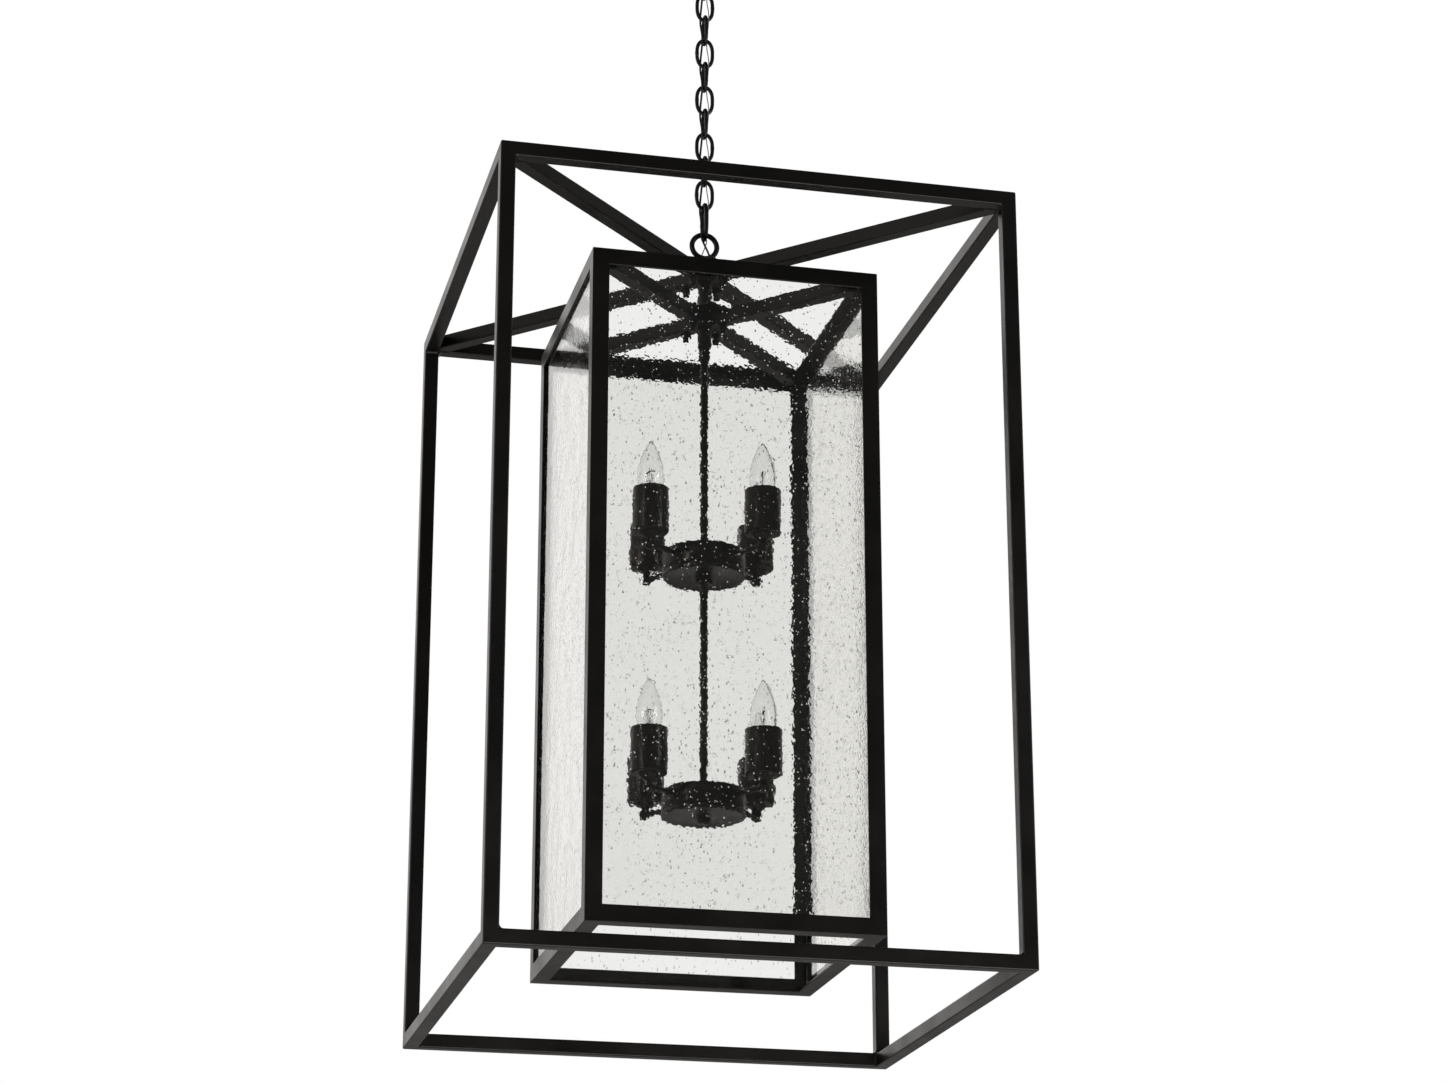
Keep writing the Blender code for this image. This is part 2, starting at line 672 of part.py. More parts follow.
def build_loop(parent, steel):
    """The ring on top of the lantern, with its collar, which the leads go down into."""
    ring = ring_of_wire(LOOP_WIDTH, LOOP_WIRE, LOOP_LEVEL)
    collar = rod(COLLAR, COLLAR_BOTTOM, COLLAR_TOP)
    holes = []
    for diameter, side, entry in ((SUPPLY_LEAD, -1, SUPPLY_ENTRY), (GROUND_LEAD, 1, GROUND_ENTRY)):
        hole = rod(diameter + 2 * FIT, COLLAR_TOP - ENTRY_DEPTH - MM, COLLAR_TOP + MM, SMALL_SIDES)
        holes.append(shifted(hole, entry, side * WEAVE))
    piece("lantern_loop", cut(joined(collar, ring), *holes), steel, parent=parent)


def build_chain(lantern, steel):
    """The links, each with its origin on the wire that it hangs by. Every other one is turned edge-on."""
    link = wire_loop(LINK_LENGTH, LINK_WIDTH, LINK_WIRE)
    for i in range(CHAIN_LINKS):
        top = link_top(FIRST_LINK_BOTTOM + i * PITCH, LINK_LENGTH, LINK_WIRE)
        carrier = CANOPY_LOOP_WIRE if i == CHAIN_LINKS - 1 else LINK_WIRE
        turn = (i % 2) * math.pi / 2
        name = "chain_link_%02d" % (CHAIN_LINKS - i)
        hung_link(name, link, steel, top, hangs_on(top, LINK_WIRE, carrier), lantern, turn)
    connector = wire_loop(CONNECTOR_LENGTH, CONNECTOR_WIDTH, CONNECTOR_WIRE)
    below = hangs_on(CONNECTOR_TOP, CONNECTOR_WIRE, LINK_WIRE)
    hung_link("connector_link", connector, steel, CONNECTOR_TOP, below, lantern, math.pi / 2)


def hung_link(name, mesh, steel, top, hinge, lantern, turn):
    """A link whose top wire is at top, under an empty on the wire at hinge that carries it."""
    axis = empty(name + "_hinge", (0, 0, hinge), lantern, turn)
    piece(name, mesh, steel, (0, 0, top - hinge), axis)


def lead_holes(bottom, top):
    """Cutters for the holes that the leads run through, from bottom to top."""
    holes = []
    for diameter, side in ((SUPPLY_LEAD, -1), (GROUND_LEAD, 1)):
        hole = rod(diameter + LEAD_HOLE_ROOM, bottom - MM, top + MM, SMALL_SIDES)
        holes.append(shifted(hole, beside_chain(diameter, side), side * WEAVE))
    return holes


def build_canopy(lantern, steel, zinc):
    """The ceiling canopy, the strap that it fixes to and the loop that carries the chain."""
    outer = CANOPY / 2
    inner = outer - CANOPY_WALL
    hole = STRAP_NIPPLE / 2 + FIT
    bottom = CANOPY_BOTTOM
    top = CEILING
    slope = bottom + CANOPY_LIP
    face = outer - CANOPY_LIP
    floor = bottom + CANOPY_WALL
    outline = [(hole, bottom), (face, bottom), (outer, slope), (outer, top), (inner, top)]
    outline += [(inner, slope), (face - CANOPY_WALL / 2, floor), (hole, floor)]
    shell = turned(outline, CANOPY_SIDES)
    piece("ceiling_canopy", cut(shell, *lead_holes(bottom, floor)), steel, parent=lantern)

    strap_bottom = CEILING - STRAP_THICKNESS
    half_length = STRAP_LENGTH / 2
    half_width = STRAP_WIDTH / 2
    strap = box((-half_length, -half_width, strap_bottom), (half_length, half_width, CEILING))
    nipple = rod(STRAP_NIPPLE, CANOPY_COLLAR_BOTTOM + CANOPY_COLLAR_HEIGHT / 2, strap_bottom + MM)
    piece("mounting_strap", joined(strap, nipple), zinc, parent=lantern)

    collar_top = CANOPY_COLLAR_BOTTOM + CANOPY_COLLAR_HEIGHT
    collar = rod(CANOPY_COLLAR, CANOPY_COLLAR_BOTTOM, collar_top)
    quarter_turn = Matrix.Rotation(math.pi / 2, 4, "Z")
    ring = moved(ring_of_wire(CANOPY_LOOP_WIDTH, CANOPY_LOOP_WIRE, CANOPY_LOOP_LEVEL), quarter_turn)
    bore_bottom = CANOPY_COLLAR_BOTTOM + CANOPY_COLLAR_HEIGHT / 2 - FIT
    bore = rod(STRAP_NIPPLE + 2 * FIT, bore_bottom, collar_top + MM)
    holes = lead_holes(CANOPY_COLLAR_BOTTOM, collar_top)
    piece("canopy_loop", cut(joined(collar, ring), bore, *holes), steel, parent=lantern)


def main():
    clear_scene()
    steel = material("black_powder_coated_steel", (0.012, 0.012, 0.012), 0.42, 0.0)
    zinc = material("zinc_plated_steel", (0.45, 0.45, 0.46), 0.35, 1.0)
    glass = material("clear_seeded_glass", (0.86, 0.88, 0.87), 0.03, 0.0, 1.0)
    bulb_glass = material("clear_lamp_glass", (0.95, 0.95, 0.93), 0.02, 0.0, 1.0)
    black_vinyl = material("black_vinyl", (0.01, 0.01, 0.01), 0.5, 0.0)
    clear_vinyl = material("pale_vinyl", (0.55, 0.52, 0.45), 0.4, 0.0)

    lantern = empty("lantern_bottom", (0, 0, -CEILING))
    build_outer_frame(lantern, steel)
    build_inner_frame(lantern, steel)
    build_glass(lantern, glass)
    build_stem(lantern, steel)
    build_cluster("upper", lantern, UPPER_PAN_LEVEL, steel, bulb_glass)
    build_cluster("lower", lantern, LOWER_PAN_LEVEL, steel, bulb_glass)
    build_loop(lantern, steel)
    build_chain(lantern, steel)
    build_canopy(lantern, steel, zinc)
    lead("supply_lead", lead_path(SUPPLY_LEAD, -1, SUPPLY_ENTRY), SUPPLY_LEAD, black_vinyl, lantern)
    lead("ground_lead", lead_path(GROUND_LEAD, 1, GROUND_ENTRY), GROUND_LEAD, clear_vinyl, lantern)
    for obj in bpy.data.objects:
        if obj.type == "MESH":
            obj.data.shade_smooth()
            obj.data.set_sharp_from_angle(angle=math.radians(35))


main()
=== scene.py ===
"""Looks of the hanging lantern: two black steel cages, seeded glass and eight clear lamps on one stem.

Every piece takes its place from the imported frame. Metres, +Z up, with the origin on the ceiling.
"""

import itertools
import math

import bmesh
import bpy
from mathutils import Matrix, Vector


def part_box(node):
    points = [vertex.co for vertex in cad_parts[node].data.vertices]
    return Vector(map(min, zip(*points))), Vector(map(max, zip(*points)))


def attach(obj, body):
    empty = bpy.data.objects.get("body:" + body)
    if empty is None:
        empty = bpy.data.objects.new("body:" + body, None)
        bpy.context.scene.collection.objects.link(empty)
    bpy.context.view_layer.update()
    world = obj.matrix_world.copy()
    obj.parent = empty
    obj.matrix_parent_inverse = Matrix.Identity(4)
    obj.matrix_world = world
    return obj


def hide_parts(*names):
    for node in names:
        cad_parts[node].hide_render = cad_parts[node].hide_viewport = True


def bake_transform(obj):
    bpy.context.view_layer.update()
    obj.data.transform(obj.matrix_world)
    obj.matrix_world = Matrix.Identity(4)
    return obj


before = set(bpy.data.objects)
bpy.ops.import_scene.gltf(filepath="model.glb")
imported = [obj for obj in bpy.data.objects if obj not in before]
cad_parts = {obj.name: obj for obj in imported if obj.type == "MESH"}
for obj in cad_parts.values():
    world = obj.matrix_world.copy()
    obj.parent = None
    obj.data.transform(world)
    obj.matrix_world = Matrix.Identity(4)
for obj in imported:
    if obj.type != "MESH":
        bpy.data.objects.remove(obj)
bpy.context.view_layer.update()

MM = 0.001
FIT = 0.3 * MM

# Cages
TUBE = 17.5 * MM
TUBE_EDGE = 1.9 * MM  # radius of its rounded edges
FILLET = 5 * MM  # ground weld that fills the inner corners
ANGLE_LEG = 20 * MM
ANGLE_WALL = 3 * MM
ANGLE_EDGE = 0.8 * MM
BRACE = 17.5 * MM
BRACE_EDGE = 1.6 * MM
WELD = 1.5 * MM
WELD_PITCH = 1.4 * MM

# Hubs and stem
HUB_EDGE = 0.6 * MM
BOLT = 6 * MM
BOLT_RADIUS = 27 * MM
BOLT_HEAD = 10 * MM
BOLT_HEAD_HEIGHT = 3.6 * MM
NUT = 10 * MM
NUT_HEIGHT = 7 * MM
CAP_HEIGHT = 5 * MM
WASHER = 12.5 * MM
WASHER_THICKNESS = 1 * MM
STEM = 9.4 * MM
PAN_NUT = 21 * MM
LOWER_NUT = 16 * MM
PAN_NUT_HEIGHT = 7 * MM
THREAD_PITCH = 1.5 * MM
THREAD_DEPTH = 0.35 * MM

# Lamp clusters
LAMPS = 4
PAN_WALL = 1.6 * MM
PAN_EDGE = 2.2 * MM
GROOVE = 1.1 * MM
ARM = 7 * MM
ARM_RISE = 20 * MM
KNUCKLE = 14 * MM
CUP_SINK = 1.5 * MM
CUP = 26 * MM
CUP_HEIGHT = 8 * MM
COVER_WALL = 1.6 * MM
NIPPLE = 10 * MM
SOCKET = 26 * MM
SOCKET_HEIGHT = 40 * MM
SOCKET_WALL = 3 * MM
CAP_BORE = 13.5 * MM
LAMP_CAP_DEPTH = 20 * MM
LAMP_CAP = 12 * MM
SHELL_RIPPLE = 0.35 * MM
CAP_RIPPLE = 0.25 * MM
LAMP_GLASS_WALL = 0.7 * MM
SUPPORT_WIRE = 0.6 * MM
FILAMENT_WIRE = 0.35 * MM
FILAMENT_HALF = 6 * MM

# Loop, chain and canopy
COLLAR_HEIGHT = 11.5 * MM
LOOP_WIRE = 6.5 * MM
LINK_WIRE = 4.7 * MM
CONNECTOR_WIRE = 5.5 * MM
CANOPY_LOOP_WIRE = 5 * MM
CANOPY_COLLAR_HEIGHT = 16 * MM
CANOPY_WALL = 1.2 * MM
STRAP_THICKNESS = 3 * MM
SCREW_RADIUS = 44 * MM
SUPPLY_LEAD = 2.6 * MM
GROUND_LEAD = 1.3 * MM
WEAVE = 5.8 * MM
SUPPLY_ENTRY = 6 * MM
GROUND_ENTRY = -4 * MM
LEAD_GAP = 0.5 * MM
ENTRY_DEPTH = 3 * MM
LEAD_SPACING = 2.5 * MM

# Glass
SEEDS_PER_SQUARE_METRE = 12000
SMALLEST_SEED = 0.38 * MM
LARGEST_SEED = 1.2 * MM
SEED_MARGIN = 3 * MM  # from a pane's edges
SEED_DEPTH = 0.25 * MM  # most, to either side of the pane's middle
PANE_EDGE = 0.3 * MM
GLASS_DIMPLE = 5 * MM
GLASS_WAVE = 30 * MM
WAVE_SHARE = 0.35  # steepness of the waves, against that of the dimples
GLASS_DEPTH = 0.08 * MM

# Studio
LENS = 82.5
LENS_SHIFT = 0.040
CAMERA_TURN = math.radians(-13.1)
CAMERA_RISE = math.radians(18.37)
CAMERA_FROM_FOOT = (-0.830, -3.666, -0.749)
FLOOR = -2.5
FLOOR_WIDTH = 12
ROOM_FRONT = 0.1  # brightness of the room in front of the lantern, against 1 behind it
ROOM_BELOW = 0.22

LINKS = 9
LINK_NAMES = ["chain_link_%02d" % (i + 1) for i in range(LINKS)]
CLUSTERS = ("upper", "lower")


def low(node):
    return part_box(node)[0]


def high(node):
    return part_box(node)[1]


def middle(node):
    return (low(node) + high(node)) / 2


def width(node):
    return high(node).x - low(node).x


def levels(node):
    """The heights of a node's underside and top."""
    return low(node).z, high(node).z


# --- Nodes -------------------------------------------------------------------------------------


def add(tree, kind, inputs=None, **settings):
    """A node of this kind. Each input is set to a value, or linked to a socket or a node's first output."""
    node = tree.nodes.new(kind)
    for name, value in settings.items():
        setattr(node, name, value)
    for key, value in (inputs or {}).items():
        if isinstance(value, bpy.types.Node):
            value = value.outputs[0]
        if isinstance(value, bpy.types.NodeSocket):
            tree.links.new(value, node.inputs[key])
        else:
            node.inputs[key].default_value = value
    return node


def calculate(tree, operation, *values):
    """The result of a Math node."""
    return add(tree, "ShaderNodeMath", dict(enumerate(values)), operation=operation).outputs[0]


def new_tree(name, sizes):
    """A Geometry Nodes tree with these named inputs, as (label, kind, value), and its two ends."""
    tree = bpy.data.node_groups.new(name, "GeometryNodeTree")
    tree.interface.new_socket("Geometry", in_out="INPUT", socket_type="NodeSocketGeometry")
    for label, kind, value in sizes:
        socket = tree.interface.new_socket(label, in_out="INPUT", socket_type="NodeSocket" + kind)
        if value is not None:
            socket.default_value = value
    tree.interface.new_socket("Finish", in_out="INPUT", socket_type="NodeSocketMaterial")
    tree.interface.new_socket("Geometry", in_out="OUTPUT", socket_type="NodeSocketGeometry")
    return tree, tree.nodes.new("NodeGroupInput").outputs, tree.nodes.new("NodeGroupOutput")


def end_tree(tree, given, result, shape):
    """Realizes the shape's instances, shades them smooth and gives them the finish."""
    real = add(tree, "GeometryNodeRealizeInstances", {"Geometry": shape})
    shaded = add(tree, "GeometryNodeSetShadeSmooth", {"Geometry": real, "Shade Smooth": True})
    return paint(tree, given, result, shaded)


def paint(tree, given, result, shape):
    """Gives the shape the finish, as the tree's result."""
    inputs = {"Geometry": shape, "Material": given["Finish"]}
    painted = add(tree, "GeometryNodeSetMaterial", inputs)
    tree.links.new(painted.outputs[0], result.inputs["Geometry"])
    return tree


def grown(tree, base, finish, **sizes):
    """The plain mesh that a tree makes from a base mesh. Underscores in the sizes' names stand for spaces."""
    holder = bpy.data.objects.new("holder", base)
    bpy.context.scene.collection.objects.link(holder)
    modifier = holder.modifiers.new("grow", "NODES")
    modifier.node_group = tree
    chosen = {label.replace("_", " "): value for label, value in sizes.items()}
    chosen["Finish"] = finish
    for item in tree.interface.items_tree:
        if item.in_out == "INPUT" and item.name in chosen:
            modifier[item.identifier] = chosen[item.name]
    mesh = evaluated(holder)
    bpy.data.objects.remove(holder)
    return mesh


def evaluated(obj):
    """A plain mesh of the object with its modifiers applied."""
    bpy.context.view_layer.update()
    graph = bpy.context.evaluated_depsgraph_get()
    return bpy.data.meshes.new_from_object(obj.evaluated_get(graph), depsgraph=graph)


# --- Materials ---------------------------------------------------------------------------------


def colour(code):
    """A linear colour from an sRGB one in hex."""
    shares = [int(code[i : i + 2], 16) / 255 for i in (0, 2, 4)]
    return (*[s / 12.92 if s <= 0.04045 else ((s + 0.055) / 1.055) ** 2.4 for s in shares], 1)


def new_material(name, **values):
    """A material with these values on its Principled shader. Underscores stand for spaces."""
    made = bpy.data.materials.new(name)
    made.use_nodes = True
    shader = made.node_tree.nodes["Principled BSDF"]
    for label, value in values.items():
        shader.inputs[label.replace("_", " ")].default_value = value
    return made, made.node_tree, shader


def noise(tree, size, detail=2.0, stretch=(1, 1, 1)):
    """Noise with features of about this size in metres, on object coordinates."""
    place = add(tree, "ShaderNodeTexCoord").outputs["Object"]
    scaled = add(tree, "ShaderNodeMapping", {"Vector": place, "Scale": [s / size for s in stretch]})
    inputs = {"Vector": scaled, "Scale": 1.0, "Detail": detail}
    return add(tree, "ShaderNodeTexNoise", inputs).outputs[0]


def spread(tree, value, low_end, high_end, start=0.3, end=0.7):
    """A value moved from one range to another, and held at its ends."""
    inputs = {"Value": value, "From Min": start, "From Max": end, "To Min": low_end, "To Max": high_end}
    return add(tree, "ShaderNodeMapRange", inputs).outputs[0]


def two_colours(tree, factor, first, second):
    """A mix of two sRGB colours."""
    inputs = {"Factor": factor, 6: colour(first), 7: colour(second)}
    return add(tree, "ShaderNodeMix", inputs, data_type="RGBA").outputs[2]


def dents(tree, shader, height, depth, strength=1.0):
    """Gives the shader a bumpy surface of this depth in metres."""
    bump = add(tree, "ShaderNodeBump", {"Height": height, "Distance": depth, "Strength": strength})
    tree.links.new(bump.outputs[0], shader.inputs["Normal"])


def mottled(tree, shader, pattern, dark, light, smoothest, roughest):
    """Lets a pattern take the shader's colour and roughness from one end to the other."""
    tree.links.new(two_colours(tree, pattern, dark, light), shader.inputs["Base Color"])
    tree.links.new(spread(tree, pattern, smoothest, roughest), shader.inputs["Roughness"])


def powder_coat(name, dark, light, smoothest, roughest):
    """Satin black powder coat on steel: baked-on plastic powder, so it is even, with a soft sheen.

    It has the fine orange peel that the powder flows into, drawn at 3 mm so that it shows, and
    handling marks that change its gloss more than its colour.
    """
    made, tree, shader = new_material(name, Metallic=0.0, IOR=1.5, Specular_Tint=colour("fff8f2"))
    marks = noise(tree, 70 * MM, 4.0)
    grain = noise(tree, 3 * MM)
    tree.links.new(two_colours(tree, spread(tree, marks, 0, 1), dark, light), shader.inputs["Base Color"])
    gloss = calculate(tree, "MULTIPLY_ADD", grain, 0.08, spread(tree, marks, smoothest, roughest))
    tree.links.new(gloss, shader.inputs["Roughness"])
    dents(tree, shader, grain, 0.008 * MM, 0.5)
    return made


def weld_metal(name):
    """Steel weld bead under the same powder coat: its ripples catch the light, and soot dulls them."""
    made, tree, shader = new_material(name, Metallic=0.0, IOR=1.5)
    soot = noise(tree, 2 * MM, 3.0)
    mottled(tree, shader, soot, "101010", "1c1b1a", 0.35, 0.6)
    dents(tree, shader, soot, 0.1 * MM)
    return made


def chain_black(name):
    """Black enamel dipped on bent steel wire: glossier than the frames, thin where the links rub."""
    made, tree, shader = new_material(name, Metallic=0.0, IOR=1.5)
    rub = noise(tree, 9 * MM, 4.0)
    worn = two_colours(tree, spread(tree, rub, 0, 1, 0.55, 0.75), "0d0d0d", "2b2622")
    tree.links.new(worn, shader.inputs["Base Color"])
    tree.links.new(spread(tree, rub, 0.28, 0.45), shader.inputs["Roughness"])
    dents(tree, shader, noise(tree, 2.5 * MM), 0.05 * MM, 0.6)
    return made


def clear_glass(name, tint):
    """A smooth clear glass, coloured by what passes through it."""
    return new_material(name, Base_Color=colour(tint), Roughness=0.0, IOR=1.5, Transmission_Weight=1.0)


def seeded_glass(name):
    """Drawn soda-lime glass: a faint grey tint, and small dimples that ruffle what is behind it."""
    made, tree, shader = clear_glass(name, "f5f5f3")
    place = add(tree, "ShaderNodeTexCoord").outputs["Object"]
    facing = add(tree, "ShaderNodeNewGeometry").outputs["True Normal"]
    apart = add(tree, "ShaderNodeVectorMath", {0: facing, "Scale": 90 * MM}, operation="SCALE")
    own = add(tree, "ShaderNodeVectorMath", {0: place, 1: apart}, operation="ADD").outputs[0]
    dimples = add(tree, "ShaderNodeTexNoise", {"Vector": own, "Scale": 1 / GLASS_DIMPLE, "Detail": 1.0})
    waves = add(tree, "ShaderNodeTexNoise", {"Vector": own, "Scale": 1 / GLASS_WAVE, "Detail": 0.0})
    slope = WAVE_SHARE * GLASS_WAVE / GLASS_DIMPLE
    height = calculate(tree, "MULTIPLY_ADD", waves.outputs[0], slope, dimples.outputs[0])
    dents(tree, shader, height, GLASS_DEPTH)
    return made


def seed_glass(name):
    """Air seeds trapped in the glass: each is a tiny lens with a bright middle, and its dark rim is painted
    shade, grey mixed into its colour where its face turns from the view.
    """
    made, tree, shader = new_material(name, Roughness=0.0, IOR=1.45, Transmission_Weight=1.0)
    # Painted shade: the colour goes from white in the middle to grey at the rim, by how far the face turns
    # from the view.
    rim = add(tree, "ShaderNodeLayerWeight", {"Blend": 0.5}).outputs["Facing"]
    painted_rim_shade = two_colours(tree, spread(tree, rim, 0.0, 1.0, 0.3, 0.7), "ffffff", "747472")
    tree.links.new(painted_rim_shade, shader.inputs["Base Color"])
    return made


def lamp_glass(name):
    """Blown lamp glass: clear and thin, so it shows by its rim and its highlights."""
    made, tree, shader = clear_glass(name, "ffffff")
    dents(tree, shader, noise(tree, 14 * MM, 1.0), 0.08 * MM)
    return made


def plated(name, dark, light, smooth, rough, grain=(1, 1, 1)):
    """Plated metal: a bright, slightly clouded mirror, with fine wipe marks along its grain."""
    made, tree, shader = new_material(name, Metallic=1.0)
    cloud = noise(tree, 8 * MM, 4.0, grain)
    mottled(tree, shader, cloud, dark, light, smooth, rough)
    dents(tree, shader, noise(tree, 1.5 * MM, 2.0, grain), 0.02 * MM, 0.5)
    return made


def vinyl(name, dark, light, roughness):
    """Extruded vinyl insulation: soft and waxy, with a die line or two along it."""
    made, tree, shader = new_material(name, Metallic=0.0, IOR=1.52)
    wax = noise(tree, 12 * MM, 3.0)
    mottled(tree, shader, wax, dark, light, roughness - 0.08, roughness + 0.08)
    dents(tree, shader, noise(tree, 1.2 * MM, 2.0, (1, 1, 0.1)), 0.04 * MM, 0.5)
    return made


def phenolic(name):
    """Moulded black phenolic: hard and smooth, with a little mottling from the filler."""
    made, tree, shader = new_material(name, Metallic=0.0, IOR=1.58)
    filler = noise(tree, 3 * MM, 4.0)
    mottled(tree, shader, filler, "131211", "211f1d", 0.3, 0.42)
    dents(tree, shader, filler, 0.02 * MM, 0.5)
    return made


# --- Shapes ------------------------------------------------------------------------------------


def mesh_of(points, faces):
    """A mesh of these faces, all turned to point outwards, shaded smooth but for its sharp edges."""
    mesh = bpy.data.meshes.new("shape")
    mesh.from_pydata([tuple(p) for p in points], [], faces)
    bm = bmesh.new()
    bm.from_mesh(mesh)
    bmesh.ops.remove_doubles(bm, verts=bm.verts, dist=MM / 1000)
    bmesh.ops.recalc_face_normals(bm, faces=bm.faces)
    bm.to_mesh(mesh)
    bm.free()
    return smooth(mesh)


def smooth(mesh, degrees=38):
    mesh.shade_smooth()
    mesh.set_sharp_from_angle(angle=math.radians(degrees))
    return mesh


def merged(*meshes):
    """One mesh that holds all of these."""
    bm = bmesh.new()
    for mesh in meshes:
        bm.from_mesh(mesh)
    made = bpy.data.meshes.new("shape")
    bm.to_mesh(made)
    bm.free()
    return smooth(made)


def placed(mesh, matrix):
    """A copy of the mesh, moved by the matrix."""
    made = mesh.copy()
    made.transform(matrix)
    return made


def at(x, y, z):
    return Matrix.Translation((x, y, z))


def rounded_edges(mesh, radius, segments=3, fillet=None):
    """The mesh with its edges rounded off and, if a fillet is given, its inner corners filled that far."""
    wide = max(radius, fillet or radius)
    bm = bmesh.new()
    bm.from_mesh(mesh)
    weights = bm.edges.layers.float.new("bevel_weight_edge")
    for edge in bm.edges:
        if edge.calc_face_angle(0) > math.radians(40):
            inward = fillet is not None and not edge.is_convex
            edge[weights] = 1.0 if inward else radius / wide
    bm.to_mesh(mesh)
    bm.free()
    holder = bpy.data.objects.new("holder", mesh)
    bpy.context.scene.collection.objects.link(holder)
    bevel = holder.modifiers.new("edges", "BEVEL")
    bevel.width = wide
    bevel.segments = segments
    bevel.limit_method = "WEIGHT"
    bevel.harden_normals = True
    mesh.shade_smooth()
    made = evaluated(holder)
    bpy.data.objects.remove(holder)
    return made


def eased(corners, steps=4):
    """An outline's points. A corner given as (radius, height, easing) is rounded by that much."""
    line = []
    count = len(corners)
    for i, corner in enumerate(corners):
        here = Vector(corner[:2])
        if len(corner) == 2:
            line.append(here)
            continue
        before = Vector(corners[i - 1][:2]) - here
        after = Vector(corners[(i + 1) % count][:2]) - here
        start = here + before.normalized() * min(corner[2], before.length / 2)
        end = here + after.normalized() * min(corner[2], after.length / 2)
        for step in range(steps + 1):
            t = step / steps
            line.append(start * (1 - t) ** 2 + here * 2 * t * (1 - t) + end * t**2)
    return line


def turned(corners, sides=48, steps=4):
    """A shape turned about Z. An outline with both ends on the axis is solid, any other has a bore."""
    outline = eased(corners, steps)
    points = []
    rings = []
    for radius, height in outline:
        count = 1 if radius < MM / 1000 else sides
        rings.append([len(points) + i for i in range(count)])
        for i in range(count):
            angle = math.tau * (i + 0.5) / sides
            points.append((radius * math.cos(angle), radius * math.sin(angle), height))
    pairs = list(zip(rings, rings[1:]))
    if len(rings[0]) > 1:
        pairs.append((rings[-1], rings[0]))
    faces = []
    for first, second in pairs:
        for i in range(sides):
            ends = [first[i % len(first)], first[(i + 1) % len(first)]]
            ends += [second[(i + 1) % len(second)], second[i % len(second)]]
            ends = tuple(dict.fromkeys(ends))
            if len(ends) > 2:
                faces.append(ends)
    return mesh_of(points, faces)


def rod(radius, bottom, top, sides):
    """A plain upright round or many-sided bar."""
    return turned([(0, top), (radius, top), (radius, bottom), (0, bottom)], sides)


def prism(outline, bottom, top):
    """An upright prism over a flat outline of (x, y) points."""
    count = len(outline)
    points = [(x, y, z) for z in (bottom, top) for x, y in outline]
    faces = [tuple(range(count)), tuple(range(count, 2 * count))]
    faces += [(i, (i + 1) % count, count + (i + 1) % count, count + i) for i in range(count)]
    return mesh_of(points, faces)


def tube(points, radius, sides=10):
    """The points round a wire, ring by ring along its line without twist, and how many make a ring."""
    places = []
    side = Vector((1, 0, 0))
    last = len(points) - 1
    for i, point in enumerate(points):
        along = (points[min(i + 1, last)] - points[max(i - 1, 0)]).normalized()
        side = (side - along * side.dot(along)).normalized()
        other = along.cross(side)
        for j in range(sides):
            angle = math.tau * j / sides
            places.append(point + radius * (math.cos(angle) * side + math.sin(angle) * other))
    return places, sides


def wire_mesh(rings, sides, first=0, last=None):
    """The tube between two of its rings, closed at both ends."""
    if last is None:
        last = len(rings) // sides - 1
    points = rings[first * sides : (last + 1) * sides]
    faces = [tuple(range(sides)), tuple(range(len(points) - sides, len(points)))]
    for i in range(last - first):
        for j in range(sides):
            k = (j + 1) % sides
            faces.append((i * sides + j, i * sides + k, (i + 1) * sides + k, (i + 1) * sides + j))
    return mesh_of(points, faces)


def smooth_line(points, spacing):
    """Points at about this spacing on a smooth curve through the given ones."""
    ends = [2 * Vector(points[0]) - Vector(points[1]), 2 * Vector(points[-1]) - Vector(points[-2])]
    nodes = [ends[0], *[Vector(p) for p in points], ends[1]]
    line = []
    for a, b, c, d in zip(nodes, nodes[1:], nodes[2:], nodes[3:]):
        steps = max(1, round((c - b).length / spacing))
        for i in range(steps):
            t = i / steps
            square = (2 * a - 5 * b + 4 * c - d) * t**2
            cube = (3 * b - a - 3 * c + d) * t**3
            line.append((2 * b + (c - a) * t + square + cube) / 2)
    line.append(nodes[-2])
    return line


def threads(radius, bottom, top):
    """Outline points up a screw thread, as rings a pitch apart."""
    count = max(1, round((top - bottom) / THREAD_PITCH))
    pitch = (top - bottom) / count
    line = []
    for i in range(count):
        line += [(radius - THREAD_DEPTH, bottom + i * pitch), (radius, bottom + (i + 0.5) * pitch)]
    return line


# --- Trees for what repeats ----------------------------------------------------------------------


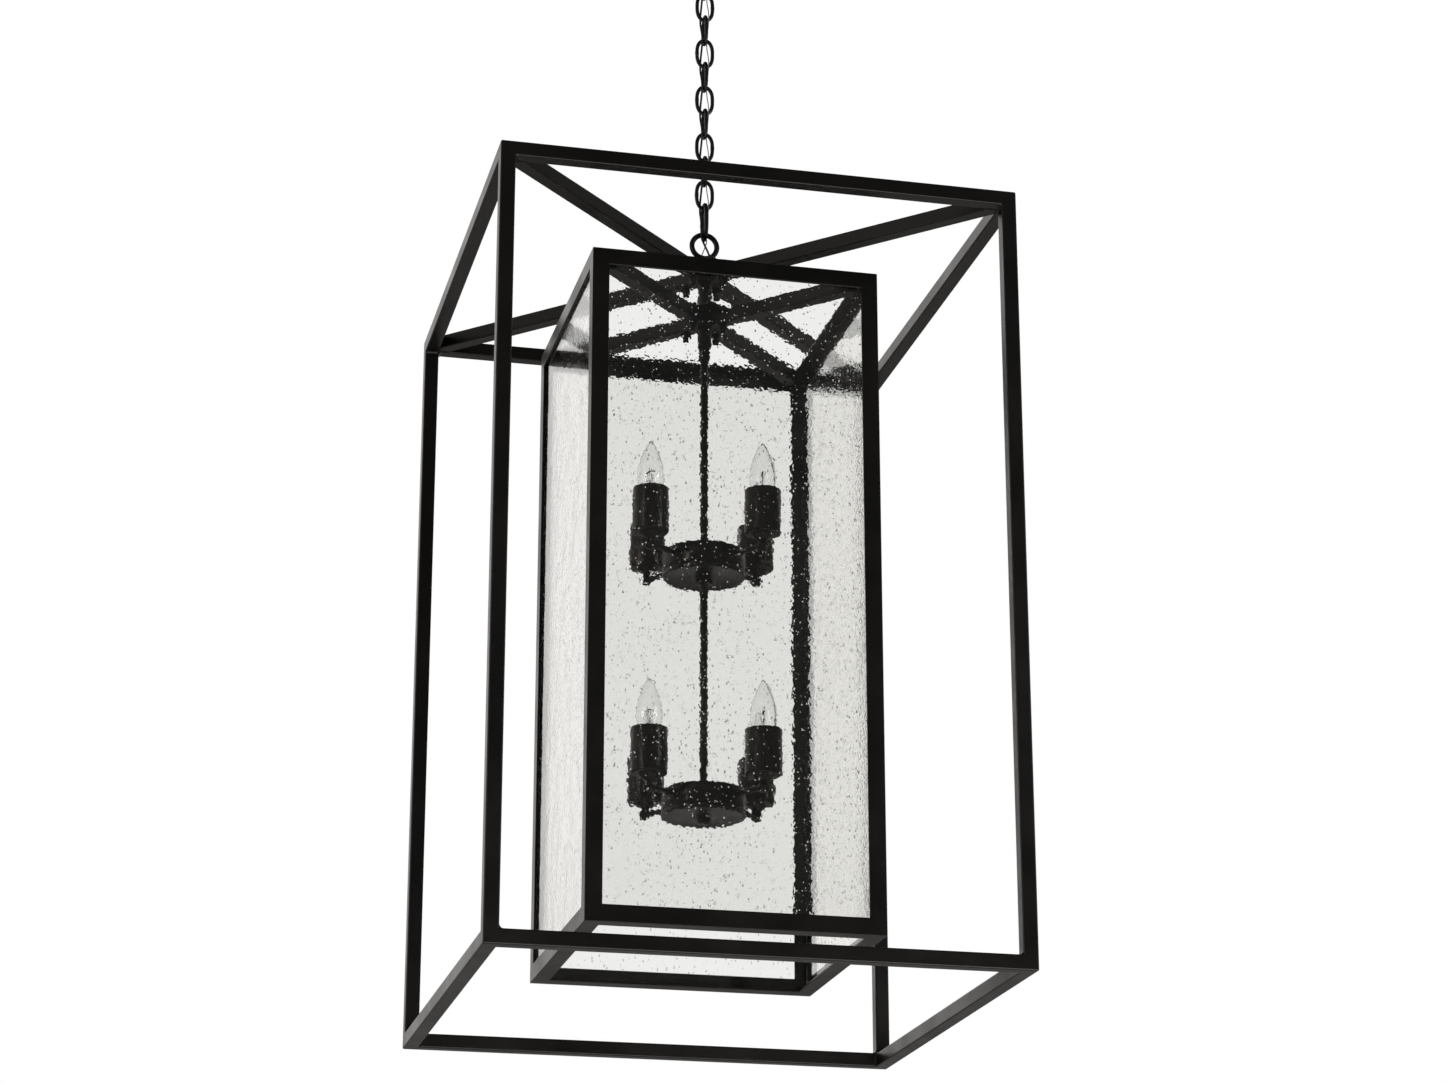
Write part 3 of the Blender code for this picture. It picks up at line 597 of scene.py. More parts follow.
def link_tree():
    """An oval link of bent wire in the XZ plane, round its middle, with a swelling where it is welded."""
    sizes = [("Bend Radius", "Float", 10 * MM), ("Half Straight", "Float", 8 * MM)]
    sizes += [("Wire Radius", "Float", 2 * MM), ("Weld Swell", "Float", 0.12)]
    sizes += [("Weld Length", "Float", 2.4 * MM)]
    tree, given, result = new_tree("welded_link", sizes)
    radius = given["Bend Radius"]
    circle = add(tree, "GeometryNodeCurvePrimitiveCircle", {"Resolution": 120, "Radius": radius})
    here = add(tree, "GeometryNodeInputPosition").outputs[0]
    up = add(tree, "ShaderNodeSeparateXYZ", {0: here}).outputs["Y"]
    share = calculate(tree, "DIVIDE", calculate(tree, "ABSOLUTE", up), radius)
    bulge = calculate(tree, "POWER", share, 0.5)
    way = calculate(tree, "MULTIPLY", calculate(tree, "SIGN", up), bulge)
    shift = add(tree, "ShaderNodeCombineXYZ", {"Y": calculate(tree, "MULTIPLY", way, given["Half Straight"])})
    oval = add(tree, "GeometryNodeSetPosition", {"Geometry": circle, "Offset": shift})
    even = add(tree, "GeometryNodeResampleCurve", {"Curve": oval, "Count": 96})
    weld = add(tree, "ShaderNodeCombineXYZ", {"X": radius}).outputs[0]
    away = add(tree, "ShaderNodeVectorMath", {0: here, 1: weld}, operation="DISTANCE").outputs["Value"]
    share = calculate(tree, "DIVIDE", away, given["Weld Length"])
    square = calculate(tree, "MULTIPLY", share, share)
    fall = calculate(tree, "EXPONENT", calculate(tree, "MULTIPLY", square, -1.0))
    swell = calculate(tree, "MULTIPLY_ADD", fall, given["Weld Swell"], 1.0)
    fat = add(tree, "GeometryNodeSetCurveRadius", {"Curve": even, "Radius": swell})
    wire = add(tree, "GeometryNodeCurvePrimitiveCircle", {"Resolution": 14, "Radius": given["Wire Radius"]})
    made = add(tree, "GeometryNodeCurveToMesh", {"Curve": fat, "Profile Curve": wire})
    if "Scale" in made.inputs:
        tree.links.new(swell, made.inputs["Scale"])
    inputs = {"Geometry": made, "Rotation": (math.pi / 2, 0, 0)}
    upright = add(tree, "GeometryNodeTransform", inputs)
    return end_tree(tree, given, result, upright.outputs[0])


def ring_tree():
    """Copies of a shape, turned about Z at even steps."""
    tree, given, result = new_tree("copies_round_axis", [("Copies", "Int", 4), ("First Angle", "Float", 0.0)])
    shape = add(tree, "GeometryNodeGeometryToInstance", {0: given["Geometry"]})
    inputs = {"Geometry": shape, "Amount": given["Copies"]}
    copies = add(tree, "GeometryNodeDuplicateElements", inputs, domain="INSTANCE")
    step = calculate(tree, "DIVIDE", math.tau, given["Copies"])
    angle = calculate(tree, "MULTIPLY_ADD", copies.outputs["Duplicate Index"], step, given["First Angle"])
    turn = add(tree, "ShaderNodeCombineXYZ", {"Z": angle})
    inputs = {"Instances": copies, "Rotation": turn, "Local Space": False}
    spun = add(tree, "GeometryNodeRotateInstances", inputs)
    real = add(tree, "GeometryNodeRealizeInstances", {"Geometry": spun})
    return paint(tree, given, result, real)


def weld_tree():
    """A bead laid along each edge of the given mesh: overlapping drops, each a little different."""
    tree, given, result = new_tree("weld_bead", [("Bead", "Float", WELD), ("Pitch", "Float", WELD_PITCH)])
    seam = add(tree, "GeometryNodeMeshToCurve", {"Mesh": given["Geometry"]})
    inputs = {"Curve": seam, "Length": given["Pitch"]}
    steps = add(tree, "GeometryNodeResampleCurve", inputs, mode="LENGTH")
    drop = add(tree, "GeometryNodeMeshIcoSphere", {"Radius": given["Bead"], "Subdivisions": 2})
    size = add(tree, "FunctionNodeRandomValue", {2: 0.75, 3: 1.1, "Seed": 3}, data_type="FLOAT")
    inputs = {"Points": steps, "Instance": drop, "Scale": size.outputs[1]}
    return end_tree(tree, given, result, add(tree, "GeometryNodeInstanceOnPoints", inputs).outputs[0])


def seed_tree():
    """Air seeds scattered through a sheet, given as its middle plane: mostly small, and drawn out upwards."""
    sizes = [("Seeds", "Float", 1000.0), ("Smallest", "Float", SMALLEST_SEED)]
    sizes += [("Largest", "Float", LARGEST_SEED), ("Depth", "Float", 0.5 * MM), ("Draw", "Int", 1)]
    tree, given, result = new_tree("air_seeds", sizes)
    inputs = {"Mesh": given["Geometry"], "Density": given["Seeds"], "Seed": given["Draw"]}
    points = add(tree, "GeometryNodeDistributePointsOnFaces", inputs)

    def chance(least, most, seed):
        node = add(tree, "FunctionNodeRandomValue", {2: least, 3: most, "Seed": seed}, data_type="FLOAT")
        return node.outputs[1]

    depth = calculate(tree, "MULTIPLY", chance(-1.0, 1.0, 11), given["Depth"])
    inputs = {0: points.outputs["Normal"], "Scale": depth}
    shift = add(tree, "ShaderNodeVectorMath", inputs, operation="SCALE")
    inside = add(tree, "GeometryNodeSetPosition", {"Geometry": points, "Offset": shift})
    rare = calculate(tree, "POWER", chance(0.0, 1.0, 12), 1.7)
    room = calculate(tree, "SUBTRACT", given["Largest"], given["Smallest"])
    radius = calculate(tree, "MULTIPLY_ADD", rare, room, given["Smallest"])
    tall = calculate(tree, "MULTIPLY", radius, chance(1.0, 1.9, 13))
    scale = add(tree, "ShaderNodeCombineXYZ", {"X": radius, "Y": radius, "Z": tall})
    ball = add(tree, "GeometryNodeMeshIcoSphere", {"Radius": 1.0, "Subdivisions": 1})
    inputs = {"Points": inside, "Instance": ball, "Scale": scale}
    return end_tree(tree, given, result, add(tree, "GeometryNodeInstanceOnPoints", inputs).outputs[0])


# --- Pieces ------------------------------------------------------------------------------------


def piece(name, mesh, finish, body="lantern", stands_for=()):
    """A piece that rides on a body and may stand for CAD nodes. A grown mesh has its finish already."""
    if finish is not None:
        mesh.materials.clear()
        mesh.materials.append(finish)
    made = bpy.data.objects.new(name, mesh)
    bpy.context.scene.collection.objects.link(made)
    if body is not None:
        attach(made, body)
    if stands_for:
        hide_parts(*stands_for)
    return made


def cage(span, bottom, top, zones, holds_metal):
    """A welded cage, cut into zones from each side inwards. holds_metal takes a cell's zones, least first."""
    depths = list(itertools.accumulate(zones))

    def lines(start, end):
        return [start, *[start + d for d in depths], *[end - d for d in reversed(depths)], end]

    sides = lines(-span / 2, span / 2)
    heights = lines(bottom, top)
    cells = range(len(sides) - 1)

    def filled(cell):
        inside = all(i in cells for i in cell)
        return inside and holds_metal(*sorted(min(i, len(cells) - 1 - i) for i in cell))

    points = {}
    faces = []
    for cell in itertools.product(cells, repeat=3):
        if not filled(cell):
            continue
        for axis, way in itertools.product(range(3), (0, 1)):
            beside = list(cell)
            beside[axis] += 2 * way - 1
            if filled(tuple(beside)):
                continue
            across = [i for i in range(3) if i != axis]
            face = []
            for a, b in ((0, 0), (1, 0), (1, 1), (0, 1)):
                corner = list(cell)
                corner[axis] += way
                corner[across[0]] += a
                corner[across[1]] += b
                face.append(points.setdefault(tuple(corner), len(points)))
            faces.append(tuple(face))
    places = [(sides[i], sides[j], heights[k]) for i, j, k in points]
    return mesh_of(places, faces)


def brace(corner, bottom):
    """Two crossed bars whose points fit into the corners of a square, at this distance from its middle."""
    half = BRACE / 2
    arm = [(half, -half), (corner - half, -half), (corner, 0), (corner - half, half)]
    outline = []
    for i in range(4):
        turn = Matrix.Rotation(math.pi / 4 + i * math.pi / 2, 2)
        outline += [tuple(turn @ Vector(p)) for p in arm]
    return rounded_edges(prism(outline, bottom, bottom + BRACE), BRACE_EDGE)


def seam_mesh(seams):
    """A mesh of loose edges, one for each seam to be welded."""
    mesh = bpy.data.meshes.new("seams")
    points = [tuple(p) for seam in seams for p in seam]
    mesh.from_pydata(points, [(2 * i, 2 * i + 1) for i in range(len(seams))], [])
    return mesh


def corner_seams(inner, feet, height):
    """The seams up the four inner corners of a cage's top and bottom rings."""
    spots = itertools.product((-inner, inner), (-inner, inner), feet)
    return [((x, y, z + WELD), (x, y, z + height - WELD)) for x, y, z in spots]


def brace_seams(corner, bottom):
    """The seams round the point of each arm of a brace."""
    half = BRACE / 2
    seams = []
    for i in range(4):
        turn = Matrix.Rotation(math.pi / 4 + i * math.pi / 2, 3, "Z")
        for side in (-half, half):
            foot = turn @ Vector((corner - half, side, bottom))
            seams.append((foot, foot + Vector((0, 0, BRACE))))
            seams.append((foot, turn @ Vector((corner, 0, bottom))))
    return seams


def make_cages(steel, weld, welds):
    """The outer cage of square tube, the inner one of angle, and the braces welded into both."""
    span = width("outer_lower_frame")
    bottom = low("outer_lower_frame").z
    top = high("outer_top_frame").z
    shape = cage(span, bottom, top, [TUBE], lambda a, b, c: b == 0)
    mesh = rounded_edges(shape, TUBE_EDGE, 4, FILLET)
    piece("outer_cage", mesh, steel, stands_for=["outer_lower_frame", "outer_top_frame"])
    inner = span / 2 - TUBE
    corner = inner * math.sqrt(2)
    piece("outer_brace", brace(corner, top - BRACE), steel)
    beads = grown(welds, seam_mesh(brace_seams(corner, top - BRACE)), weld, Bead=0.8 * WELD, Pitch=WELD_PITCH)
    piece("outer_welds", beads, None)

    span = width("inner_lower_frame")
    bottom = low("inner_lower_frame").z
    top = high("inner_top_frame").z
    zones = [ANGLE_WALL, ANGLE_LEG - ANGLE_WALL]
    mesh = rounded_edges(cage(span, bottom, top, zones, lambda a, b, c: a == 0 and b <= 1), ANGLE_EDGE)
    piece("inner_cage", mesh, steel, stands_for=["inner_lower_frame", "inner_top_frame"])
    inner = span / 2 - ANGLE_LEG
    corner = inner * math.sqrt(2)
    piece("inner_brace", brace(corner, top - BRACE), steel)
    seams = corner_seams(inner, (bottom, top - ANGLE_WALL), ANGLE_WALL) + brace_seams(corner, top - BRACE)
    beads = grown(welds, seam_mesh(seams), weld, Bead=0.7 * WELD, Pitch=WELD_PITCH)
    piece("inner_welds", beads, None)


def make_hub(place, brace_bottom, steel, ring):
    """A plate on top of a brace, with a bolt down through each arm and a cap nut under it."""
    plate = place + "_hub_plate"
    half = width(plate) / 2 / math.sqrt(2)
    top = high(plate).z
    corners = [(half, half), (-half, half), (-half, -half), (half, -half)]
    square = rounded_edges(prism(corners, brace_bottom + BRACE + FIT, top), HUB_EDGE)
    square.transform(Matrix.Rotation(math.pi / 4, 4, "Z"))
    piece(place + "_plate", square, steel, stands_for=[plate])
    half = BOLT_HEAD / 2
    head_top = top + BOLT_HEAD_HEIGHT
    head = turned([(0, head_top), (half, head_top, 2.6 * MM), (half, top), (0, top)], 24)
    nut_low = brace_bottom - NUT_HEIGHT
    shank = rod(BOLT / 2, nut_low, top, 16)
    washer_low = brace_bottom - WASHER_THICKNESS
    rim = WASHER / 2
    edge = 0.3 * MM
    outline = [(0, brace_bottom), (rim, brace_bottom, edge), (rim, washer_low, edge), (0, washer_low)]
    washer = turned(outline, 24)
    nut = rounded_edges(rod(NUT / 2, nut_low, washer_low, 6), 0.4 * MM, 2)
    cap = NUT * 0.4
    cap_low = nut_low - CAP_HEIGHT
    dome = turned([(0, nut_low + MM), (cap, nut_low + MM), (cap, cap_low, 3.6 * MM), (0, cap_low)], 24)
    bolt = placed(merged(head, shank, washer, nut, dome), at(BOLT_RADIUS, 0, 0))
    bolts = grown(ring, bolt, steel, Copies=4, First_Angle=math.pi / 4)
    piece(place + "_hub_bolts", bolts, None)


def make_stem(steel):
    """The spacers, the coupling, the two rods with their nuts, and the finial."""
    for node in ("upper_spacer", "lower_spacer", "stem_coupling"):
        half = width(node) / 2
        bottom, top = levels(node)
        edge = 0.8 * MM
        outline = [(STEM / 2, top), (half, top, edge), (half, bottom, edge), (STEM / 2, bottom)]
        if node == "stem_coupling":
            waist = [(half, top - 0.35 * (top - bottom)), (half - MM, (top + bottom) / 2)]
            outline[2:2] = [*waist, (half, bottom + 0.35 * (top - bottom))]
        piece(node + "_tube", turned(outline), steel, stands_for=[node])

    radius = STEM / 2
    nut_low = high("upper_pan").z + FIT
    nut_top = nut_low + PAN_NUT_HEIGHT
    bottom, top = levels("upper_rod")
    outline = [(0, bottom), *threads(radius, bottom, nut_low), (radius, nut_low)]
    outline += [*threads(radius, nut_top, nut_top + 12 * MM), (radius, nut_top + 13 * MM)]
    outline += [(radius, top), (0, top)]
    nut = lock_nut(PAN_NUT, nut_low, nut_top)
    piece("upper_stem", merged(turned(outline, 32), nut), steel, stands_for=["upper_rod"])

    bottom, top = levels("lower_rod")
    lock_top = low("upper_pan_lid").z - FIT
    lock_low = lock_top - PAN_NUT_HEIGHT
    nut_low = high("lower_pan").z + FIT
    nut_top = nut_low + PAN_NUT_HEIGHT
    outline = [(0, bottom), *threads(radius, bottom, nut_top + 8 * MM), (radius, nut_top + 9 * MM)]
    outline += [(radius, lock_low - 9 * MM), *threads(radius, lock_low - 8 * MM, top), (0, top)]
    nuts = [lock_nut(PAN_NUT, lock_low, lock_top), lock_nut(LOWER_NUT, nut_low, nut_top)]
    piece("lower_stem", merged(turned(outline, 32), *nuts), steel, stands_for=["lower_rod"])

    bottom, top = levels("finial")
    half = width("finial") / 2
    step = top - 0.4 * (top - bottom)
    hexagon = rounded_edges(rod(half, step, top, 6), 0.6 * MM)
    button = turned([(0, step + MM), (half * 0.8, step + MM), (half * 0.8, bottom, 4 * MM), (0, bottom)], 32)
    piece("finial_nut", merged(hexagon, button), steel, stands_for=["finial"])


def lock_nut(across, bottom, top):
    """A hexagon nut with eased corners."""
    half = across / 2
    bore = STEM / 2 - MM
    return rounded_edges(turned([(bore, top), (half, top), (half, bottom), (bore, bottom)], 6), 0.7 * MM)


def make_pan(place, steel):
    """A spun pan with rolled edges, and the lid that closes it below."""
    pan = place + "_pan"
    lid = place + "_pan_lid"
    half = width(pan) / 2
    level, lid_top = levels(lid)
    seam, top = levels(pan)
    hole = STEM / 2 + FIT
    inner = half - PAN_WALL
    shell = [(hole, top), (half, top, PAN_EDGE), (half, seam + 2 * GROOVE)]
    shell += [(half - GROOVE / 2, seam + GROOVE), (half, seam), (inner, seam)]
    shell += [(inner, top - PAN_WALL, PAN_EDGE), (hole, top - PAN_WALL)]
    piece(pan + "_shell", turned(shell, 96), steel, stands_for=[pan])
    disc = [(hole, lid_top), (half, lid_top, 0.8 * MM), (half, level, PAN_EDGE), (half - 4 * MM, level)]
    disc += [(half - 5 * MM, level + 0.5 * MM), (hole, level + 0.2 * MM)]
    piece(lid + "_disc", turned(disc, 96), steel, stands_for=[lid])


def arm_shape(place):
    """One lamp's arm along +X: the tube with its rosette on the pan, the knuckle, and the cup above it."""
    level = low(place + "_pan_lid").z
    pan = width(place + "_pan") / 2
    reach = middle(place + "_bulb_1").xy.length
    lay_flat = at(0, 0, level + ARM_RISE) @ Matrix.Rotation(math.pi / 2, 4, "Y")
    radius = ARM / 2
    start = pan - 4 * MM
    rosette = [(radius, pan + 3 * MM), (radius + 1.2 * MM, pan + 3 * MM, MM)]
    rosette += [(radius + 2.4 * MM, pan + FIT, MM), (radius, pan + FIT)]
    neck = [(radius, reach - 5 * MM), (radius + 1.1 * MM, reach - 6.5 * MM, MM), (radius, reach - 8 * MM)]
    shapes = [rod(radius, start, reach, 32), turned(rosette, 32), turned(neck, 32)]
    tube_parts = [placed(shape, lay_flat) for shape in shapes]
    centre = level + ARM_RISE
    half = KNUCKLE / 2
    ball = turned([(half * math.sin(a), centre + half * math.cos(a)) for a in arc(0, math.pi, 14)], 32)
    cup_low = centre + half - CUP_SINK
    cup_top = cup_low + CUP_HEIGHT
    cup = [(0, cup_low), (NIPPLE / 2, cup_low), (NIPPLE / 2 + 0.5 * MM, cup_low + 1.2 * MM, MM)]
    cup += [(CUP / 2 - 2 * MM, cup_top - 3 * MM, 3 * MM), (CUP / 2, cup_top, 0.6 * MM), (0, cup_top)]
    upright = placed(merged(ball, turned(cup)), at(reach, 0, 0))
    return merged(*tube_parts, upright)


def arc(start, end, steps):
    """Evenly spaced angles from start to end."""
    return [start + (end - start) * i / steps for i in range(steps + 1)]


def socket_shape(place):
    """One lamp's nipple and socket body, in its place on the arm along +X."""
    reach = middle(place + "_bulb_1").xy.length
    floor = low(place + "_lamp_cover_1").z + COVER_WALL
    bottom = floor + FIT
    top = bottom + SOCKET_HEIGHT
    half = SOCKET / 2
    bore = half - SOCKET_WALL
    nipple = rod(NIPPLE / 2 - 0.2 * MM, floor - 4 * MM, bottom, 24)
    body = [(0, bottom), (half - 2 * MM, bottom, MM), (half, bottom + 3 * MM, MM), (half, top, MM)]
    body += [(bore, top, 0.6 * MM), (bore, top - LAMP_CAP_DEPTH - MM), (0, top - LAMP_CAP_DEPTH - MM)]
    return placed(merged(nipple, turned(body)), at(reach, 0, 0))


def screw_shell_shape(place):
    """The brass shell that a lamp screws into, with its rolled thread."""
    reach = middle(place + "_bulb_1").xy.length
    top = low(place + "_lamp_cover_1").z + COVER_WALL + FIT + SOCKET_HEIGHT - 0.5 * MM
    bottom = top - LAMP_CAP_DEPTH + MM
    radius = CAP_BORE / 2 + 1.2 * MM
    inner = ripples(CAP_BORE / 2 + 2 * SHELL_RIPPLE, SHELL_RIPPLE, 0.25 * MM, 74)
    outline = [(radius, bottom), *[(r, bottom + z) for r, z in inner], (radius, bottom + inner[-1][1])]
    return placed(turned(outline, 32), at(reach, 0, 0))


def ripples(radius, depth, step, count):
    """Outline points of a rolled thread, eight to a turn, that starts at this outer radius."""
    return [(radius - depth + depth * math.cos(math.tau * i / 8), step * i) for i in range(count)]


def cover_shape(place):
    """One lamp's cover: a straight steel cup with a rolled lip and an eased foot."""
    node = place + "_lamp_cover_1"
    reach = middle(place + "_bulb_1").xy.length
    bottom, top = levels(node)
    half = width(node) / 2
    inner = half - COVER_WALL
    hole = NIPPLE / 2 + FIT
    floor = bottom + COVER_WALL
    outline = [(hole, floor), (inner, floor, 2 * MM), (inner, top, 0.7 * MM)]
    outline += [(half, top, 0.7 * MM), (half, bottom, 2.6 * MM), (hole, bottom)]
    return placed(turned(outline, 64), at(reach, 0, 0))


def make_cluster(place, finishes, ring):
    """A pan with its four arms, sockets and covers."""
    make_pan(place, finishes["steel"])
    lamp = middle(place + "_bulb_1")
    first = math.atan2(lamp.y, lamp.x)
    numbers = [str(i + 1) for i in range(LAMPS)]
    shapes = [("arms", arm_shape, "steel", "lamp_arm"), ("sockets", socket_shape, "phenolic", None)]
    shapes += [("screw_shells", screw_shell_shape, "brass", None)]
    shapes += [("covers", cover_shape, "steel", "lamp_cover")]
    for name, shape, finish, node in shapes:
        mesh = grown(ring, shape(place), finishes[finish], Copies=LAMPS, First_Angle=first)
        nodes = ["%s_%s_%s" % (place, node, n) for n in numbers] if node else ()
        piece("%s_%s" % (place, name), mesh, None, stands_for=nodes)


def lamp_outline(radius, height):
    """Half the outline of a torpedo lamp's glass, from its neck to the seal at its tip."""
    shares = [(0.42, 0.0), (0.56, 0.06), (0.8, 0.16), (0.95, 0.26), (1.0, 0.36), (0.985, 0.46)]
    shares += [(0.92, 0.56), (0.8, 0.66), (0.63, 0.76), (0.45, 0.85), (0.27, 0.92)]
    shares += [(0.15, 0.955), (0.12, 0.972), (0.09, 0.99)]
    knots = [(radius * r, 0, height * z) for r, z in shares]
    return [(p.x, p.z) for p in smooth_line(knots, 1.6 * MM)]


def lamp_shapes():
    """A lamp's glass, its cap, and the wires inside, round the axis with the glass's neck at height 0."""
    node = "upper_bulb_1"
    radius = width(node) / 2
    height = high(node).z - low(node).z - LAMP_CAP_DEPTH + 2 * MM
    outer = lamp_outline(radius, height)
    inner = [(max(r - LAMP_GLASS_WALL, 0), z) for r, z in outer if z < height * 0.955]
    skin = closed_below([*outer, (0, height)])
    hollow = closed_below([*inner, (0, inner[-1][1] + 0.5 * MM)])
    hollow.flip_normals()
    cap = LAMP_CAP / 2
    thread = [(r, -z) for r, z in ripples(cap, CAP_RIPPLE, 0.22 * MM, 68)]
    foot = thread[-1][1]
    outline = [(0, MM), (cap + 0.1 * MM, MM, 0.5 * MM), *thread, (cap * 0.7, foot - 1.2 * MM, 0.5 * MM)]
    outline += [(cap * 0.35, foot - 2 * MM), (0, foot - 2.3 * MM)]
    return merged(skin, hollow), turned(outline, 32), wires_shape(height)


def closed_below(outline):
    """The outline turned about Z, with a flat floor from its first point to the axis."""
    return turned([(0, outline[0][1]), *outline], 40)


def wires_shape(height):
    """The support wires, rising from the neck and leaning apart, with the coiled filament between them."""
    wires = []
    for side in (-1, 1):
        route = [(1.2 * MM, 2 * MM), (1.6 * MM, height * 0.28), (FILAMENT_HALF, height * 0.44)]
        wires.append(wire([(side * x, 0, z) for x, z in route], SUPPORT_WIRE / 2))
        route = [(0.6 * MM, height * 0.2), (2.5 * MM, height * 0.38), (3.6 * MM, height * 0.5)]
        wires.append(wire([(0, side * y, z) for y, z in route], SUPPORT_WIRE / 3))
    turns = 22
    coil = []
    for i in range(turns * 6 + 1):
        share = i / (turns * 6)
        angle = math.tau * share * turns
        x = (2 * share - 1) * FILAMENT_HALF
        sag = height * 0.44 + 3 * MM * math.sin(math.pi * share)
        coil.append(Vector((x, 0.7 * MM * math.cos(angle), sag + 0.7 * MM * math.sin(angle))))
    wires.append(wire_mesh(*tube(coil, FILAMENT_WIRE / 2, 5)))
    return merged(*wires)


def wire(route, radius):
    """A thin wire along a smooth curve through the route."""
    return wire_mesh(*tube(smooth_line(route, MM), radius, 8))


def make_lamps(finishes):
    """Eight clear torpedo lamps, each on the body of its own CAD bulb."""
    glass, cap, wires = lamp_shapes()
    outline = [(0, 0), (3.6 * MM, 0.2 * MM), (2.2 * MM, 8 * MM, 2 * MM), (1.5 * MM, 14 * MM, MM)]
    mount = turned([*outline, (0, 15 * MM)], 24)
    for place, number in itertools.product(CLUSTERS, range(1, LAMPS + 1)):
        node = "%s_bulb_%d" % (place, number)
        centre = middle(node)
        neck = low(node).z + LAMP_CAP_DEPTH - MM
        angle = math.atan2(centre.y, centre.x) + 0.6 * number
        spot = at(centre.x, centre.y, neck) @ Matrix.Rotation(angle, 4, "Z")
        piece(node + "_glass", placed(glass, spot), finishes["lamp"], node, [node])
        piece(node + "_mount", placed(mount, spot), finishes["lamp"], node)
        piece(node + "_cap", placed(cap, spot), finishes["nickel"], node)
        piece(node + "_wires", placed(wires, spot), finishes["tungsten"], node)


def link_mesh(tree, node, wire_size, finish, turn):
    """The wire link that fills a CAD link's box."""
    bottom, top = levels(node)
    across = 2 * max(high(node).x, high(node).y)
    sizes = {"Bend_Radius": (across - wire_size) / 2, "Half_Straight": (top - bottom - across) / 2}
    mesh = grown(tree, bpy.data.meshes.new("none"), finish, Wire_Radius=wire_size / 2, **sizes)
    mesh.transform(at(0, 0, middle(node).z) @ Matrix.Rotation(turn, 4, "Z"))
    return mesh


def make_chain(finishes, links):
    """The links and the connector, of welded wire."""
    for i, node in enumerate(LINK_NAMES):
        turn = 0 if i % 2 == 0 else math.pi / 2
        weld_side = math.pi if i % 3 else 0
        mesh = link_mesh(links, node, LINK_WIRE, finishes["chain"], turn + weld_side)
        piece(node + "_wire", mesh, None, node, [node])
    node = "connector_link"
    mesh = link_mesh(links, node, CONNECTOR_WIRE, finishes["chain"], math.pi / 2)
    piece(node + "_wire", mesh, None, node, [node])


def wire_ring(tree, across, wire_size, level, finish, turn):
    """A round welded ring, upright, with its middle at this level."""
    bend = (across - wire_size) / 2
    sizes = {"Bend_Radius": bend, "Half_Straight": 0.0, "Wire_Radius": wire_size / 2, "Weld_Swell": 0.06}
    mesh = grown(tree, bpy.data.meshes.new("none"), finish, **sizes)
    mesh.transform(at(0, 0, level) @ Matrix.Rotation(turn, 4, "Z"))
    return mesh


def make_lantern_loop(finishes, links, weld, welds):
    """The ring on top of the lantern and the turned collar it is welded to."""
    node = "lantern_loop"
    across = 2 * high(node).x
    bottom, ring_top = levels(node)
    top = bottom + COLLAR_HEIGHT
    ring = wire_ring(links, across, LOOP_WIRE, ring_top - across / 2, finishes["steel"], 0)
    piece("lantern_ring", ring, None)
    half = high(node).y
    outline = [(0, bottom), (half - MM, bottom), (half, bottom + MM, 0.6 * MM), (half, top - 3 * MM, 2 * MM)]
    outline += [(half - 2.5 * MM, top, 1.2 * MM), (0, top)]
    piece("lantern_collar", turned(outline, 64), finishes["steel"], stands_for=[node])
    spots = itertools.product((-5 * MM, 5 * MM), (-3 * MM, 3 * MM))
    seams = [((x - 2 * MM, y, top), (x + 2 * MM, y, top)) for x, y in spots]
    beads = grown(welds, seam_mesh(seams), weld, Bead=0.7 * WELD, Pitch=WELD_PITCH)
    piece("lantern_ring_weld", beads, None)


